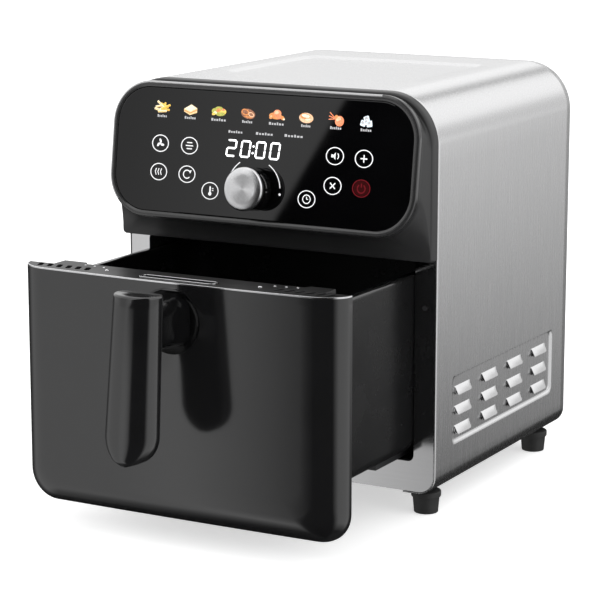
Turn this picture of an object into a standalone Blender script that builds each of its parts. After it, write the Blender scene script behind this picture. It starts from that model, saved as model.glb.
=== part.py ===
"""A drawer air fryer: steel outer wrap, tilted touch panel with a rotary knob, sliding drawer with a
tub and a crisper plate, and the fan, heater, motor and electronics inside. Metres, +Z up, front to -Y.

The geometry is written in the casing's frame: x = 0 on the middle plane, y = 0 on the steel front frame,
z = 0 on the wrap's underside. The empty casing_frame moves it to the part's own frame, whose origin is
the middle of the footprint, on the surface that the feet stand on."""

import math

import bmesh
import bpy
from mathutils import Matrix, Vector

GAP = 0.0003  # running clearance between neighbouring pieces

# casing
WIDTH = 0.280
HEIGHT = 0.3166
DEPTH = 0.260
WRAP_SHEET = 0.0008
TOP_RADIUS = 0.040
BOTTOM_RADIUS = 0.015
FOOT_HEIGHT = 0.018
FOOT_X = 0.125
FOOT_Y = (0.016, 0.229)
REAR_Y = 0.2745  # the exhaust grille's back, which also spaces the casing off a wall
BASE_OPENING_X = 0.112

# louvres on each side
VENT_Y = (0.052, 0.103, 0.1535, 0.204)
VENT_Z = (0.0775, 0.0614, 0.0455)
VENT_LENGTH = 0.036
VENT_HEIGHT = 0.0080
HOOD_STAND = 0.0035

# rear cover, exhaust grille and cord gland
REAR_COVER_Y = (0.2530, 0.2560)
GLAND_X, GLAND_Z = 0.095, 0.040
GLAND_NECK_RADIUS = 0.0080
GLAND_BORE_RADIUS = 0.0046
EXHAUST_HALF_WIDTH = 0.075
EXHAUST_LOW, EXHAUST_HIGH = 0.185, 0.285
COVER_SCREWS = ((-0.118, 0.030), (0.118, 0.030), (-0.118, 0.262), (0.118, 0.262))

# front: fascia and tilted panel
FASCIA_BOTTOM = 0.1873
FASCIA_LIP_Y = -0.0110
PANEL_TILT = math.radians(8.0)
PANEL_CENTRE = (0.0, -0.0289, 0.2670)
RIM_HALF_WIDTH = 0.1368
RIM_LOW, RIM_HIGH = -0.0591, 0.0494  # up the panel's face from its centre
RIM_RADIUS = 0.034
RIM_BAND = 0.0050
GLASS_THICKNESS = 0.0022

# knob, in the panel's frame
KNOB_X = -0.0025
KNOB_UP = -0.0300
KNOB_RADIUS = 0.0170
KNOB_HEIGHT = 0.0190
SHAFT_RADIUS = 0.0030

# drawer, as it stands at rest: it closes by moving 138.8 mm along +Y
DRAWER_FRONT_Y = -0.1600
DRAWER_BACK_Y = -0.1403
DRAWER_LOW, DRAWER_HIGH = -0.0010, 0.1858
DRAWER_EDGE_RADIUS = 0.0197
DRAWER_CORNER_RADIUS = 0.024
DRAWER_WALL = 0.0030
DRAWER_PLATE = 0.0025
LEDGE_THICKNESS = 0.0035
LEDGE_TONGUE_HALF_WIDTH = 0.1185
LEDGE_TONGUE_Y = -0.1300
NOTCH_START, NOTCH_PITCH, NOTCHES = 0.0680, 0.0088, 7
SLOT_HALF_LENGTH = 0.0330
SLOT_Y = (-0.1553, -0.1450)

# tub and crisper
TUB_HALF_WIDTH = 0.1204
TUB_FRONT_Y, TUB_REAR_Y = -0.1400, 0.0750
TUB_LOW, TUB_HIGH = 0.0337, 0.1758
TUB_SHEET = 0.0015
TUB_LIP = 0.0065
TUB_CORNER = 0.026
CRISPER_Z = 0.0520
CRISPER_SHEET = 0.0015
CRISPER_HALF_WIDTH = 0.1060
CRISPER_Y = (-0.1290, 0.0640)

# drawer opening in the front frame, and the chamber behind it
OPENING_HALF_WIDTH = 0.1210
OPENING_LOW, OPENING_HIGH = 0.0260, 0.1866
LINER_HALF_WIDTH = 0.1250
LINER_LOW, LINER_HIGH = 0.0210, 0.2500
LINER_Y = (0.0020, 0.2300)
LINER_SHEET = 0.0006
RAIL_X = (0.100, 0.1195)
PROBE_X, PROBE_Z = 0.060, 0.1930

# fan axis and the stack on it
FAN_Y = 0.1120
FAN_RADIUS = 0.0620
MOTOR_SHAFT_RADIUS = 0.0030
HEATER_Z = 0.2170
GUARD_Z = 0.2050

# safety switch beside the drawer opening; its plunger travels 0.8 mm
SWITCH_X, SWITCH_Z = 0.1300, 0.1500
SWITCH_PLUNGER_RADIUS = 0.0020
SWITCH_STAND = 0.0011

# handle: its front and back lean outwards towards the bottom
HANDLE_LOW, HANDLE_HIGH = 0.0610, 0.1850
HANDLE_FRONT_Y_TOP, HANDLE_FRONT_Y_LOW = -0.2180, -0.2315
HANDLE_BACK_Y_TOP, HANDLE_BACK_Y_LOW = -0.1980, -0.2100
HANDLE_HALF_WIDTH_TOP, HANDLE_HALF_WIDTH_LOW = 0.0195, 0.0225
HANDLE_BACK_THICKNESS = 0.0060
NECK_LOW, NECK_HIGH = 0.1400, 0.1750
NECK_HALF_WIDTH = 0.0130
HANDLE_SCREW_Z = (0.1490, 0.1660)

FRONT_Y = HANDLE_FRONT_Y_LOW
MIDDLE_Y = (FRONT_Y + REAR_Y) / 2

MATERIALS = {
    "steel": ((0.62, 0.62, 0.63), 0.30, 1.0),
    "bright_steel": ((0.80, 0.80, 0.81), 0.16, 1.0),
    "black_gloss": ((0.030, 0.030, 0.032), 0.18, 0.0),
    "black_satin": ((0.045, 0.045, 0.047), 0.45, 0.0),
    "grey_satin": ((0.20, 0.20, 0.21), 0.35, 0.3),
    "glass": ((0.015, 0.015, 0.018), 0.05, 0.0),
    "nonstick": ((0.035, 0.035, 0.037), 0.35, 0.2),
    "galvanised": ((0.52, 0.53, 0.54), 0.40, 1.0),
    "aluminium": ((0.70, 0.71, 0.72), 0.35, 1.0),
    "heater": ((0.16, 0.15, 0.14), 0.50, 0.8),
    "board_green": ((0.03, 0.16, 0.07), 0.50, 0.0),
    "white_plastic": ((0.80, 0.80, 0.78), 0.50, 0.0),
    "rubber": ((0.020, 0.020, 0.020), 0.75, 0.0),
    "silicone": ((0.10, 0.10, 0.10), 0.65, 0.0),
    "transformer_iron": ((0.10, 0.09, 0.08), 0.55, 0.6),
}


# ---------------------------------------------------------------- scene helpers


def clear_scene():
    for obj in list(bpy.data.objects):
        bpy.data.objects.remove(obj)


def material(name, slot):
    """A piece's own Principled material, with the finish of its slot."""
    color, roughness, metallic = MATERIALS[slot]
    made = bpy.data.materials.new(f"{name} {slot}")
    made.use_nodes = True
    shader = made.node_tree.nodes["Principled BSDF"]
    shader.inputs["Base Color"].default_value = (*color, 1.0)
    shader.inputs["Roughness"].default_value = roughness
    shader.inputs["Metallic"].default_value = metallic
    return made


def frame(name, location, parent=None, tilt=0.0):
    """An empty that other objects hang on: a body's frame or a joint's axis."""
    empty = bpy.data.objects.new(name, None)
    empty.location = location
    empty.rotation_euler = (tilt, 0.0, 0.0)
    empty.parent = parent
    bpy.context.scene.collection.objects.link(empty)
    return empty


def loft(rings, closed=False):
    """A closed mesh through rings of equal length. Open lofts get a cap at each end."""
    mesh = bmesh.new()
    rows = [[mesh.verts.new(point) for point in ring] for ring in rings]
    count = len(rows[0])
    pairs = list(zip(rows, rows[1:]))
    if closed:
        pairs.append((rows[-1], rows[0]))
    for near, far in pairs:
        for i in range(count):
            j = (i + 1) % count
            mesh.faces.new((near[i], near[j], far[j], far[i]))
    if not closed:
        mesh.faces.new(rows[0])
        mesh.faces.new(rows[-1])
    bmesh.ops.recalc_face_normals(mesh, faces=mesh.faces)
    return mesh


def node(name, shape, slot, parent, location=(0.0, 0.0, 0.0), sharp=35.0):
    """Turns a bmesh into a named object with its own material."""
    data = bpy.data.meshes.new(name)
    shape.to_mesh(data)
    shape.free()
    data.shade_smooth()
    data.set_sharp_from_angle(angle=math.radians(sharp))
    data.materials.append(material(name, slot))
    obj = bpy.data.objects.new(name, data)
    obj.location = location
    obj.parent = parent
    bpy.context.scene.collection.objects.link(obj)
    return obj


def cutter(name, shape, parent, location=(0.0, 0.0, 0.0)):
    obj = node(name, shape, "black_satin", parent, location)
    obj.hide_render = True
    obj.display_type = "WIRE"
    return obj


def combine(obj, other, operation):
    modifier = obj.modifiers.new(other.name, "BOOLEAN")
    modifier.operation = operation
    modifier.solver = "EXACT"
    modifier.object = other


def merged(shapes):
    """One bmesh that holds several closed shapes."""
    whole = bmesh.new()
    for shape in shapes:
        data = bpy.data.meshes.new("joined")
        shape.to_mesh(data)
        shape.free()
        whole.from_mesh(data)
        bpy.data.meshes.remove(data)
    return whole


# ---------------------------------------------------------------- shape helpers


def arc(centre, radius, start, end, steps):
    """Points on a circle in the plane of the outline, angles in degrees."""
    points = []
    for i in range(steps + 1):
        angle = math.radians(start + (end - start) * i / steps)
        points.append((centre[0] + radius * math.cos(angle), centre[1] + radius * math.sin(angle)))
    return points


def rounded(half_width, low, high, low_radius, high_radius, steps=6):
    """A rectangle with round corners: width along the first axis, low to high along the second."""
    right = half_width
    points = arc((right - low_radius, low + low_radius), low_radius, -90, 0, steps)
    points += arc((right - high_radius, high - high_radius), high_radius, 0, 90, steps)
    points += arc((high_radius - right, high - high_radius), high_radius, 90, 180, steps)
    points += arc((low_radius - right, low + low_radius), low_radius, 180, 270, steps)
    return points


def upright(outline, y):
    """An (x, z) outline placed in the upright plane at y."""
    return [(x, y, z) for x, z in outline]


def level(outline, z):
    """An (x, y) outline placed in the level plane at z."""
    return [(x, y, z) for x, y in outline]


def box(x, y, z):
    """A block between the two values of each axis."""
    base = [(x[0], y[0]), (x[1], y[0]), (x[1], y[1]), (x[0], y[1])]
    return loft([level(base, z[0]), level(base, z[1])])


def turned(profile, steps, closed=False, axis="Z"):
    """A shape of revolution from (radius, height) points, about Z or about Y."""
    rings = []
    for radius, height in profile:
        circle = arc((0.0, 0.0), radius, 0, 360.0 * (steps - 1) / steps, steps - 1)
        if axis == "Z":
            rings.append([(a, b, height) for a, b in circle])
        else:
            rings.append([(a, height, -b) for a, b in circle])
    return loft(rings, closed)


def disc(radius, low, high, steps=32, axis="Z"):
    return turned([(radius, low), (radius, high)], steps, axis=axis)


def washer(inner, outer, low, high, steps=32, axis="Z"):
    profile = [(outer, low), (outer, high), (inner, high), (inner, low)]
    return turned(profile, steps, closed=True, axis=axis)


def grid_plate(xs, ys, low, high, is_solid):
    """A plate over a grid of cells, with a square hole wherever is_solid(column, row) is false."""
    mesh = bmesh.new()
    points = {}

    def corner(i, j, top):
        if (i, j, top) not in points:
            points[i, j, top] = mesh.verts.new((xs[i], ys[j], high if top else low))
        return points[i, j, top]

    columns, rows = len(xs) - 1, len(ys) - 1

    def solid(i, j):
        return 0 <= i < columns and 0 <= j < rows and is_solid(i, j)

    for i in range(columns):
        for j in range(rows):
            if not solid(i, j):
                continue
            around = [(i, j), (i + 1, j), (i + 1, j + 1), (i, j + 1)]
            mesh.faces.new([corner(a, b, True) for a, b in around])
            mesh.faces.new([corner(a, b, False) for a, b in reversed(around)])
            beyond = [(i, j - 1), (i + 1, j), (i, j + 1), (i - 1, j)]
            for side, (a, b) in enumerate(beyond):
                if solid(a, b):
                    continue
                start, end = around[side], around[(side + 1) % 4]
                wall = [corner(*start, False), corner(*end, False), corner(*end, True), corner(*start, True)]
                mesh.faces.new(wall)
    bmesh.ops.recalc_face_normals(mesh, faces=mesh.faces)
    return mesh


def turn_about_z(shape, angle):
    bmesh.ops.rotate(shape, verts=shape.verts, matrix=Matrix.Rotation(angle, 3, "Z"))
    return shape


def stripes(start, end, count, land, hole):
    """Grid lines for count holes with a land before, between and after them, centred in the span."""
    used = count * hole + (count - 1) * land
    edge = (end - start - used) / 2
    lines = [start]
    at = start + edge
    for _ in range(count):
        lines += [at, at + hole]
        at += hole + land
    return lines + [end]


# ---------------------------------------------------------------- casing


def wrap_section(inset):
    """The wrap's cross-section as an open line in (x, z): it runs round from one underside flange to
    the other, at this distance inside the outer surface."""
    half, low, high = WIDTH / 2 - inset, inset, HEIGHT - inset
    top, bottom = TOP_RADIUS - inset, BOTTOM_RADIUS - inset
    points = [(BASE_OPENING_X, low)]
    points += arc((half - bottom, low + bottom), bottom, -90, 0, 6)
    points += arc((half - top, high - top), top, 0, 90, 10)
    points += arc((top - half, high - top), top, 90, 180, 10)
    points += arc((bottom - half, low + bottom), bottom, 180, 270, 6)
    return points + [(-BASE_OPENING_X, low)]


def vent_places():
    return [(side, y, z) for side in (-1, 1) for y in VENT_Y for z in VENT_Z]


def vent_hood(side, y, z):
    """A wedge over a slot: flush with the side at its front, standing proud at its rear."""
    skin = side * (WIDTH / 2 - WRAP_SHEET / 2)
    crest = side * (WIDTH / 2 + HOOD_STAND)
    front, rear = y - VENT_LENGTH / 2, y + VENT_LENGTH / 2
    low, high = z - VENT_HEIGHT / 2, z + VENT_HEIGHT / 2
    outer_front = side * (WIDTH / 2 + 0.0003)
    near = [(skin, front, low), (outer_front, front, low), (outer_front, front, high), (skin, front, high)]
    far = [(skin, rear, low), (crest, rear, low), (crest, rear, high), (skin, rear, high)]
    return loft([near, far])


def vent_slot(side, y, z):
    """The opening behind a hood, which leaves the hood's face as a thin skin."""
    inner = side * (WIDTH / 2 - 0.004)
    crest = side * (WIDTH / 2 + HOOD_STAND - WRAP_SHEET)
    foot = side * (WIDTH / 2 - WRAP_SHEET)
    front, rear = y - VENT_LENGTH / 2 + 0.002, y + VENT_LENGTH / 2 + 0.001
    low, high = z - VENT_HEIGHT / 2 + 0.001, z + VENT_HEIGHT / 2 - 0.001
    near = [(inner, front, low), (foot, front, low), (foot, front, high), (inner, front, high)]
    far = [(inner, rear, low), (crest, rear, low), (crest, rear, high), (inner, rear, high)]
    return loft([near, far])


def make_wrap(parent):
    outer, inner = wrap_section(0.0), wrap_section(WRAP_SHEET)
    sections = []
    for (ox, oz), (ix, iz) in zip(outer, inner):
        sections.append([(ox, 0.0, oz), (ox, DEPTH, oz), (ix, DEPTH, iz), (ix, 0.0, iz)])
    wrap = node("outer_wrap", loft(sections), "steel", parent)
    hoods = cutter("vent_hoods", merged([vent_hood(*place) for place in vent_places()]), parent)
    slots = cutter("vent_slots", merged([vent_slot(*place) for place in vent_places()]), parent)
    combine(wrap, hoods, "UNION")
    combine(wrap, slots, "DIFFERENCE")


def inner_outline():
    """The casing's cross-section just inside the wrap."""
    inset = WRAP_SHEET + GAP
    half, low, high = WIDTH / 2 - inset, inset, HEIGHT - inset
    return rounded(half, low, high, BOTTOM_RADIUS - inset, TOP_RADIUS - inset)


def make_front_frame(parent):
    outer = inner_outline()
    hole = rounded(OPENING_HALF_WIDTH, OPENING_LOW, OPENING_HIGH, 0.005, 0.003)
    front, back = GAP, GAP + 0.0012
    rings = [upright(outer, front), upright(outer, back), upright(hole, back), upright(hole, front)]
    plate = node("front_frame", loft(rings, closed=True), "steel", parent)
    bore = disc(SWITCH_PLUNGER_RADIUS + 0.0004, -0.002, 0.004, 16, axis="Y")
    combine(plate, cutter("switch_bore", bore, parent, (SWITCH_X, 0.0, SWITCH_Z)), "DIFFERENCE")


def make_base_plate(parent):
    outline = rounded(BASE_OPENING_X + 0.010, 0.004, DEPTH - 0.010, 0.006, 0.006, 3)
    low = WRAP_SHEET + GAP
    node("base_plate", loft([level(outline, low), level(outline, low + 0.0025)]), "black_satin", parent)


def make_feet(parent):
    for row, y in zip(("front", "rear"), FOOT_Y):
        for side, sign in (("left", -1), ("right", 1)):
            profile = [(0.0094, -FOOT_HEIGHT), (0.0101, -FOOT_HEIGHT + 0.0010), (0.0115, -GAP)]
            shape = turned(profile, 24)
            node(f"foot_{row}_{side}", shape, "rubber", parent, (sign * FOOT_X, y, 0.0))


def make_rear_cover(parent):
    outer = inner_outline()
    hole = rounded(EXHAUST_HALF_WIDTH - 0.004, EXHAUST_LOW + 0.004, EXHAUST_HIGH - 0.004, 0.008, 0.008)
    front, back = REAR_COVER_Y
    rings = [upright(outer, front), upright(outer, back), upright(hole, back), upright(hole, front)]
    cover = node("rear_cover", loft(rings, closed=True), "black_satin", parent)
    bore = disc(GLAND_NECK_RADIUS + GAP, front - 0.002, back + 0.002, 24, axis="Y")
    combine(cover, cutter("gland_bore", bore, parent, (GLAND_X, 0.0, GLAND_Z)), "DIFFERENCE")
    for number, (x, z) in enumerate(COVER_SCREWS, 1):
        bore = disc(0.0017 + GAP, front - 0.002, back + 0.002, 16, axis="Y")
        combine(cover, cutter(f"cover_screw_bore_{number}", bore, parent, (x, 0.0, z)), "DIFFERENCE")


def make_cover_screws(parent):
    back = REAR_COVER_Y[1]
    for number, (x, z) in enumerate(COVER_SCREWS, 1):
        shank, head, dome = 0.0017, 0.0036, 0.0030
        profile = [(shank, back - 0.012), (shank, back + GAP), (head, back + GAP), (dome, back + 0.0022)]
        node(f"cover_screw_{number}", turned(profile, 12, axis="Y"), "bright_steel", parent, (x, 0.0, z))


def make_exhaust_grille(parent):
    """A louvred box on the rear cover, open to its front, which also spaces the casing off a wall."""
    low_y, high_y = REAR_COVER_Y[1] + GAP, REAR_Y
    xs = stripes(-EXHAUST_HALF_WIDTH, EXHAUST_HALF_WIDTH, 3, 0.006, 0.040)
    zs = stripes(EXHAUST_LOW, EXHAUST_HIGH, 8, 0.0050, 0.0055)

    def is_solid(column, row):
        return column % 2 == 0 or row % 2 == 0

    plate = grid_plate(xs, zs, -high_y, 0.003 - high_y, is_solid)
    for vertex in plate.verts:
        vertex.co = Vector((vertex.co.x, -vertex.co.z, vertex.co.y))
    bmesh.ops.recalc_face_normals(plate, faces=plate.faces)
    grille = node("exhaust_grille", plate, "black_satin", parent)
    outer = rounded(EXHAUST_HALF_WIDTH, EXHAUST_LOW, EXHAUST_HIGH, 0.010, 0.010, 6)
    inner = rounded(EXHAUST_HALF_WIDTH - 0.004, EXHAUST_LOW + 0.004, EXHAUST_HIGH - 0.004, 0.006, 0.006, 6)
    near, far = low_y, high_y - 0.0015
    rings = [upright(outer, near), upright(outer, far), upright(inner, far), upright(inner, near)]
    walls = cutter("exhaust_walls", loft(rings, closed=True), parent)
    rim = rounded(EXHAUST_HALF_WIDTH, EXHAUST_LOW, EXHAUST_HIGH, 0.010, 0.010, 6)
    trim = cutter("exhaust_outline", loft([upright(rim, low_y - 0.01), upright(rim, high_y + 0.01)]), parent)
    combine(grille, trim, "INTERSECT")
    combine(grille, walls, "UNION")


def make_cord_gland(parent):
    front, back = REAR_COVER_Y
    profile = [
        (GLAND_NECK_RADIUS, front - 0.001),
        (GLAND_NECK_RADIUS, back + GAP),
        (0.0120, back + GAP),
        (0.0112, back + 0.0030),
        (0.0078, back + 0.0100),
        (GLAND_BORE_RADIUS, back + 0.0100),
        (GLAND_BORE_RADIUS, front - 0.001),
    ]
    node("cord_gland", turned(profile, 24, True, "Y"), "rubber", parent, (GLAND_X, 0.0, GLAND_Z))


# ---------------------------------------------------------------- fascia and panel


def panel_ring(outline, depth):
    """An outline on the tilted panel, at this depth behind its face, in the casing's frame."""
    cos, sin = math.cos(PANEL_TILT), math.sin(PANEL_TILT)
    x0, y0, z0 = PANEL_CENTRE
    return [(x0 + x, y0 + up * sin + depth * cos, z0 + up * cos - depth * sin) for x, up in outline]


def make_fascia(parent):
    """A moulding that follows the casing's outline at the back and the tilted panel at the front."""
    half, high = WIDTH / 2, HEIGHT

    def body_ring(y, inset, low, low_radius, top_inset):
        return upright(rounded(half - inset, low, high - top_inset, low_radius, TOP_RADIUS), y)

    outer = [
        body_ring(-GAP, 0.0, FASCIA_BOTTOM, 0.002, 0.0),
        body_ring(-0.0060, 0.0, FASCIA_BOTTOM, 0.002, 0.0),
        body_ring(-0.0090, 0.0015, FASCIA_BOTTOM, 0.002, 0.0008),
        body_ring(FASCIA_LIP_Y, 0.0050, FASCIA_BOTTOM + 0.001, 0.004, 0.0020),
        body_ring(FASCIA_LIP_Y - 0.0014, 0.0080, 0.1985, 0.012, 0.0022),
        panel_ring(rounded(0.1325, RIM_LOW + 0.0035, RIM_HIGH - 0.0010, 0.030, 0.034), 0.0110),
        panel_ring(rounded(RIM_HALF_WIDTH, RIM_LOW, RIM_HIGH, RIM_RADIUS, RIM_RADIUS), 0.0045),
    ]
    pocket = rounded(0.124, RIM_LOW + 0.012, RIM_HIGH - 0.010, 0.024, 0.024)
    well = rounded(0.118, 0.2240, 0.3020, 0.020, 0.020)
    inner = [panel_ring(pocket, 0.0045), upright(well, -GAP)]
    node("fascia_housing", loft(outer + inner, closed=True), "black_satin", parent)


def make_panel(panel):
    """Rim, glass and the electronics behind them, in the panel's frame: x across, z up the face."""

    def outline(inset, depth):
        radius = RIM_RADIUS - inset
        low, high = RIM_LOW + inset, RIM_HIGH - inset
        return upright(rounded(RIM_HALF_WIDTH - inset, low, high, radius, radius), depth)

    edge, seat = 0.0010, 0.0042
    rings = [outline(0.0, seat), outline(0.0, edge), outline(edge, 0.0)]
    rings += [outline(RIM_BAND, 0.0), outline(RIM_BAND, seat)]
    node("panel_rim", loft(rings, closed=True), "grey_satin", panel)

    front = 0.0004
    pane = [outline(RIM_BAND + GAP, front), outline(RIM_BAND + GAP, front + GLASS_THICKNESS)]
    glass = node("touch_glass", loft(pane), "glass", panel)
    bore = disc(0.0056, -0.002, 0.006, 24, axis="Y")
    combine(glass, cutter("knob_bore", bore, panel, (KNOB_X, 0.0, KNOB_UP)), "DIFFERENCE")

    node("display_module", box((-0.033, 0.020), (0.0032, 0.0110), (-0.010, 0.017)), "black_satin", panel)
    node("control_board", box((-0.110, 0.110), (0.0190, 0.0206), (-0.038, 0.028)), "board_green", panel)
    make_encoder(panel)


def make_encoder(panel):
    """The encoder's case holds a bore along the knob's axis for the push plunger and the shaft's end."""
    case = box((-0.007, 0.007), (0.0100, 0.0187), (-0.007, 0.007))
    encoder = node("encoder_body", case, "galvanised", panel, (KNOB_X, 0.0, KNOB_UP))
    bore = disc(SHAFT_RADIUS + 0.0005, 0.008, 0.0175, 24, axis="Y")
    combine(encoder, cutter("encoder_bore", bore, panel, (KNOB_X, 0.0, KNOB_UP)), "DIFFERENCE")


def make_knob(knob_axis):
    """Plunger, shaft, skirt and cap, about the knob's own axis. Depth runs along +Y, out of sight."""
    plunger = disc(0.0026, 0.0148, 0.0162, 24, axis="Y")
    node("encoder_plunger", plunger, "white_plastic", knob_axis)
    node("knob_shaft", disc(SHAFT_RADIUS, 0.0145 - 0.0240, 0.0145, 24, axis="Y"), "galvanised", knob_axis)
    face = -KNOB_HEIGHT
    skirt = [
        (KNOB_RADIUS - 0.0008, -0.0018),
        (KNOB_RADIUS - 0.0004, -0.0050),
        (KNOB_RADIUS - 0.0014, face + 0.0040),
        (SHAFT_RADIUS + GAP, face + 0.0040),
        (SHAFT_RADIUS + GAP, -0.0018),
    ]
    node("knob_skirt", turned(skirt, 32, True, "Y"), "black_gloss", knob_axis)
    cap = [
        (KNOB_RADIUS - 0.0014, face + 0.0037),
        (KNOB_RADIUS, face + 0.0032),
        (KNOB_RADIUS, face + 0.0012),
        (KNOB_RADIUS - 0.0012, face),
    ]
    node("knob_cap", turned(cap, 32, axis="Y"), "bright_steel", knob_axis)


# ---------------------------------------------------------------- chamber, heater and fan


def make_liner(parent):
    """An open-fronted steel box; the fan hole is in its ceiling and the probe hole in its back."""
    front, back = LINER_Y
    outer = rounded(LINER_HALF_WIDTH, LINER_LOW, LINER_HIGH, 0.006, 0.006, 3)
    half, low, high = LINER_HALF_WIDTH - LINER_SHEET, LINER_LOW + LINER_SHEET, LINER_HIGH - LINER_SHEET
    inner = rounded(half, low, high, 0.005, 0.005, 3)
    rings = [upright(outer, back), upright(outer, front), upright(inner, front)]
    rings.append(upright(inner, back - LINER_SHEET))
    liner = node("cavity_liner", loft(rings), "galvanised", parent)
    fan_hole = disc(0.0700, LINER_HIGH - 0.005, LINER_HIGH + 0.005, 32)
    combine(liner, cutter("fan_hole", fan_hole, parent, (0.0, FAN_Y, 0.0)), "DIFFERENCE")
    probe_hole = disc(0.0030, back - 0.005, back + 0.005, 16, axis="Y")
    combine(liner, cutter("probe_hole", probe_hole, parent, (PROBE_X, 0.0, PROBE_Z)), "DIFFERENCE")


def make_probe(parent):
    rod, flange, seat = 0.0024, 0.0060, LINER_Y[1] + GAP
    profile = [(0.0018, 0.1980), (rod, 0.2000), (rod, seat), (flange, seat)]
    profile += [(flange, seat + 0.0020), (rod, seat + 0.0020), (rod, 0.2440)]
    node("temperature_probe", turned(profile, 12, axis="Y"), "bright_steel", parent, (PROBE_X, 0.0, PROBE_Z))


def make_rails(parent):
    for side, sign in (("left", -1), ("right", 1)):
        x = sorted(sign * value for value in RAIL_X)
        low = LINER_LOW + LINER_SHEET + GAP
        node(f"rail_{side}", box(x, (0.004, 0.224), (low, low + 0.0042)), "black_satin", parent)


def make_reflector(parent):
    profile = [
        (0.0060, LINER_HIGH + 0.0060),
        (0.0500, LINER_HIGH + 0.0060),
        (0.0690, LINER_HIGH + GAP),
        (0.0850, LINER_HIGH + GAP),
        (0.0850, LINER_HIGH + 0.0013),
        (0.0695, LINER_HIGH + 0.0013),
        (0.0505, LINER_HIGH + 0.0070),
        (0.0060, LINER_HIGH + 0.0070),
    ]
    node("heat_reflector", turned(profile, 32, True), "aluminium", parent, (0.0, FAN_Y, 0.0))


def make_heater(parent):
    """A sheathed element wound as a flat double ring, with its cold ends going up at the rear."""
    turns, steps = 1.9, 54
    curve = bpy.data.curves.new("heating_element", "CURVE")
    curve.dimensions = "3D"
    curve.bevel_depth = 0.0032
    curve.bevel_resolution = 1
    curve.use_fill_caps = True
    spline = curve.splines.new("POLY")
    spline.points.add(steps)
    for i in range(steps + 1):
        share = i / steps
        angle = math.radians(100.0) + 2 * math.pi * turns * share
        radius = 0.086 - 0.022 * share
        spline.points[i].co = (radius * math.cos(angle), radius * math.sin(angle), 0.0, 1.0)
    curve.materials.append(material("heating_element", "heater"))
    obj = bpy.data.objects.new("heating_element", curve)
    obj.location = (0.0, FAN_Y, HEATER_Z)
    obj.parent = parent
    bpy.context.scene.collection.objects.link(obj)


def make_heater_guard(parent):
    """Rings joined by spokes."""
    place = (0.0, FAN_Y, GUARD_Z)
    guard = node("heater_guard", washer(0.0960, 0.0985, 0.0, 0.0020, 32), "bright_steel", parent, place)
    rings = [washer(radius, radius + 0.0022, 0.0, 0.0020, 24) for radius in (0.0300, 0.0640)]
    spokes = []
    for i in range(3):
        bar = box((-0.0975, 0.0975), (-0.0011, 0.0011), (0.0003, 0.0017))
        spokes.append(turn_about_z(bar, math.pi * i / 3))
    for number, shape in enumerate(rings + spokes):
        helper = cutter(f"guard_piece_{number}", shape, parent, place)
        combine(guard, helper, "UNION")


def make_fan(fan_axis):
    """Everything that spins with the motor, about the fan's axis."""
    blades = 10
    low, high = 0.2260, 0.2455
    bore = MOTOR_SHAFT_RADIUS + GAP
    hub_radius, base, under = 0.0085, low + 0.004, high - 0.0015
    hub = [(hub_radius, base), (hub_radius, under), (FAN_RADIUS, under)]
    hub += [(FAN_RADIUS, high), (bore, high), (bore, base)]
    fan = node("fan_impeller", turned(hub, 32, closed=True), "aluminium", fan_axis)
    for i in range(blades):
        blade = box((0.0200, FAN_RADIUS - 0.0015), (-0.0006, 0.0006), (low, high - 0.0008))
        turn_about_z(blade, 2 * math.pi * (i + 0.5) / blades)
        combine(fan, cutter(f"fan_blade_{i}", blade, fan_axis), "UNION")
    node("motor_shaft", disc(MOTOR_SHAFT_RADIUS, low + 0.002, 0.3080, 20), "bright_steel", fan_axis)

    hub = [(0.0070, 0.2950), (0.0070, 0.3045), (bore, 0.3045), (bore, 0.2950)]
    cooler = node("cooling_impeller", turned(hub, 24, closed=True), "white_plastic", fan_axis)
    for i in range(6):
        blade = box((0.0050, 0.0360), (-0.0007, 0.0007), (0.2960, 0.3035))
        turn_about_z(blade, 2 * math.pi * i / 6 + 0.04)
        combine(cooler, cutter(f"cooler_blade_{i}", blade, fan_axis), "UNION")


def make_motor(parent):
    place = (0.0, FAN_Y, 0.0)
    node("motor_bracket", washer(0.0140, 0.0480, 0.2600, 0.2620, 32), "galvanised", parent, place)
    node("motor_body", washer(0.0090, 0.0310, 0.2623, 0.2920, 32), "aluminium", parent, place)
    for name, low in (("lower_bearing", 0.2640), ("upper_bearing", 0.2850)):
        ring = washer(MOTOR_SHAFT_RADIUS + GAP, 0.0087, low, low + 0.0050, 24)
        node(name, ring, "bright_steel", parent, place)


def make_power_parts(parent):
    node("power_board", box((0.055, 0.118), (0.150, 0.236), (0.2620, 0.2636)), "board_green", parent)
    node("transformer", box((0.065, 0.098), (0.170, 0.205), (0.2639, 0.2880)), "transformer_iron", parent)


def make_drawer_switch(parent, switch_axis):
    """A small switch beside the opening, whose plunger meets the drawer as it closes."""
    case = box((-0.0040, 0.0040), (0.0022, 0.0200), (-0.0100, 0.0100))
    body = node("drawer_switch", case, "black_satin", parent, (SWITCH_X, 0.0, SWITCH_Z))
    bore = disc(SWITCH_PLUNGER_RADIUS + 0.0004, 0.0, 0.0090, 16, axis="Y")
    combine(body, cutter("switch_case_bore", bore, parent, (SWITCH_X, 0.0, SWITCH_Z)), "DIFFERENCE")
    plunger = disc(SWITCH_PLUNGER_RADIUS, -SWITCH_STAND, 0.0070, 16, axis="Y")
    node("switch_plunger", plunger, "white_plastic", switch_axis)


# ---------------------------------------------------------------- drawer


def drawer_ring(y):
    """The drawer front's outline at y: its edges roll back towards the casing."""
    depth = y - DRAWER_FRONT_Y
    roll = DRAWER_EDGE_RADIUS
    inset = roll - math.sqrt(max(0.0, roll * roll - (roll - min(depth, roll)) ** 2))
    low = DRAWER_LOW + inset
    high = DRAWER_HIGH - LEDGE_THICKNESS - GAP
    corner = max(DRAWER_CORNER_RADIUS - inset * 0.4, 0.012)
    return rounded(WIDTH / 2 - inset, low, high, corner, 0.002)


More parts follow.
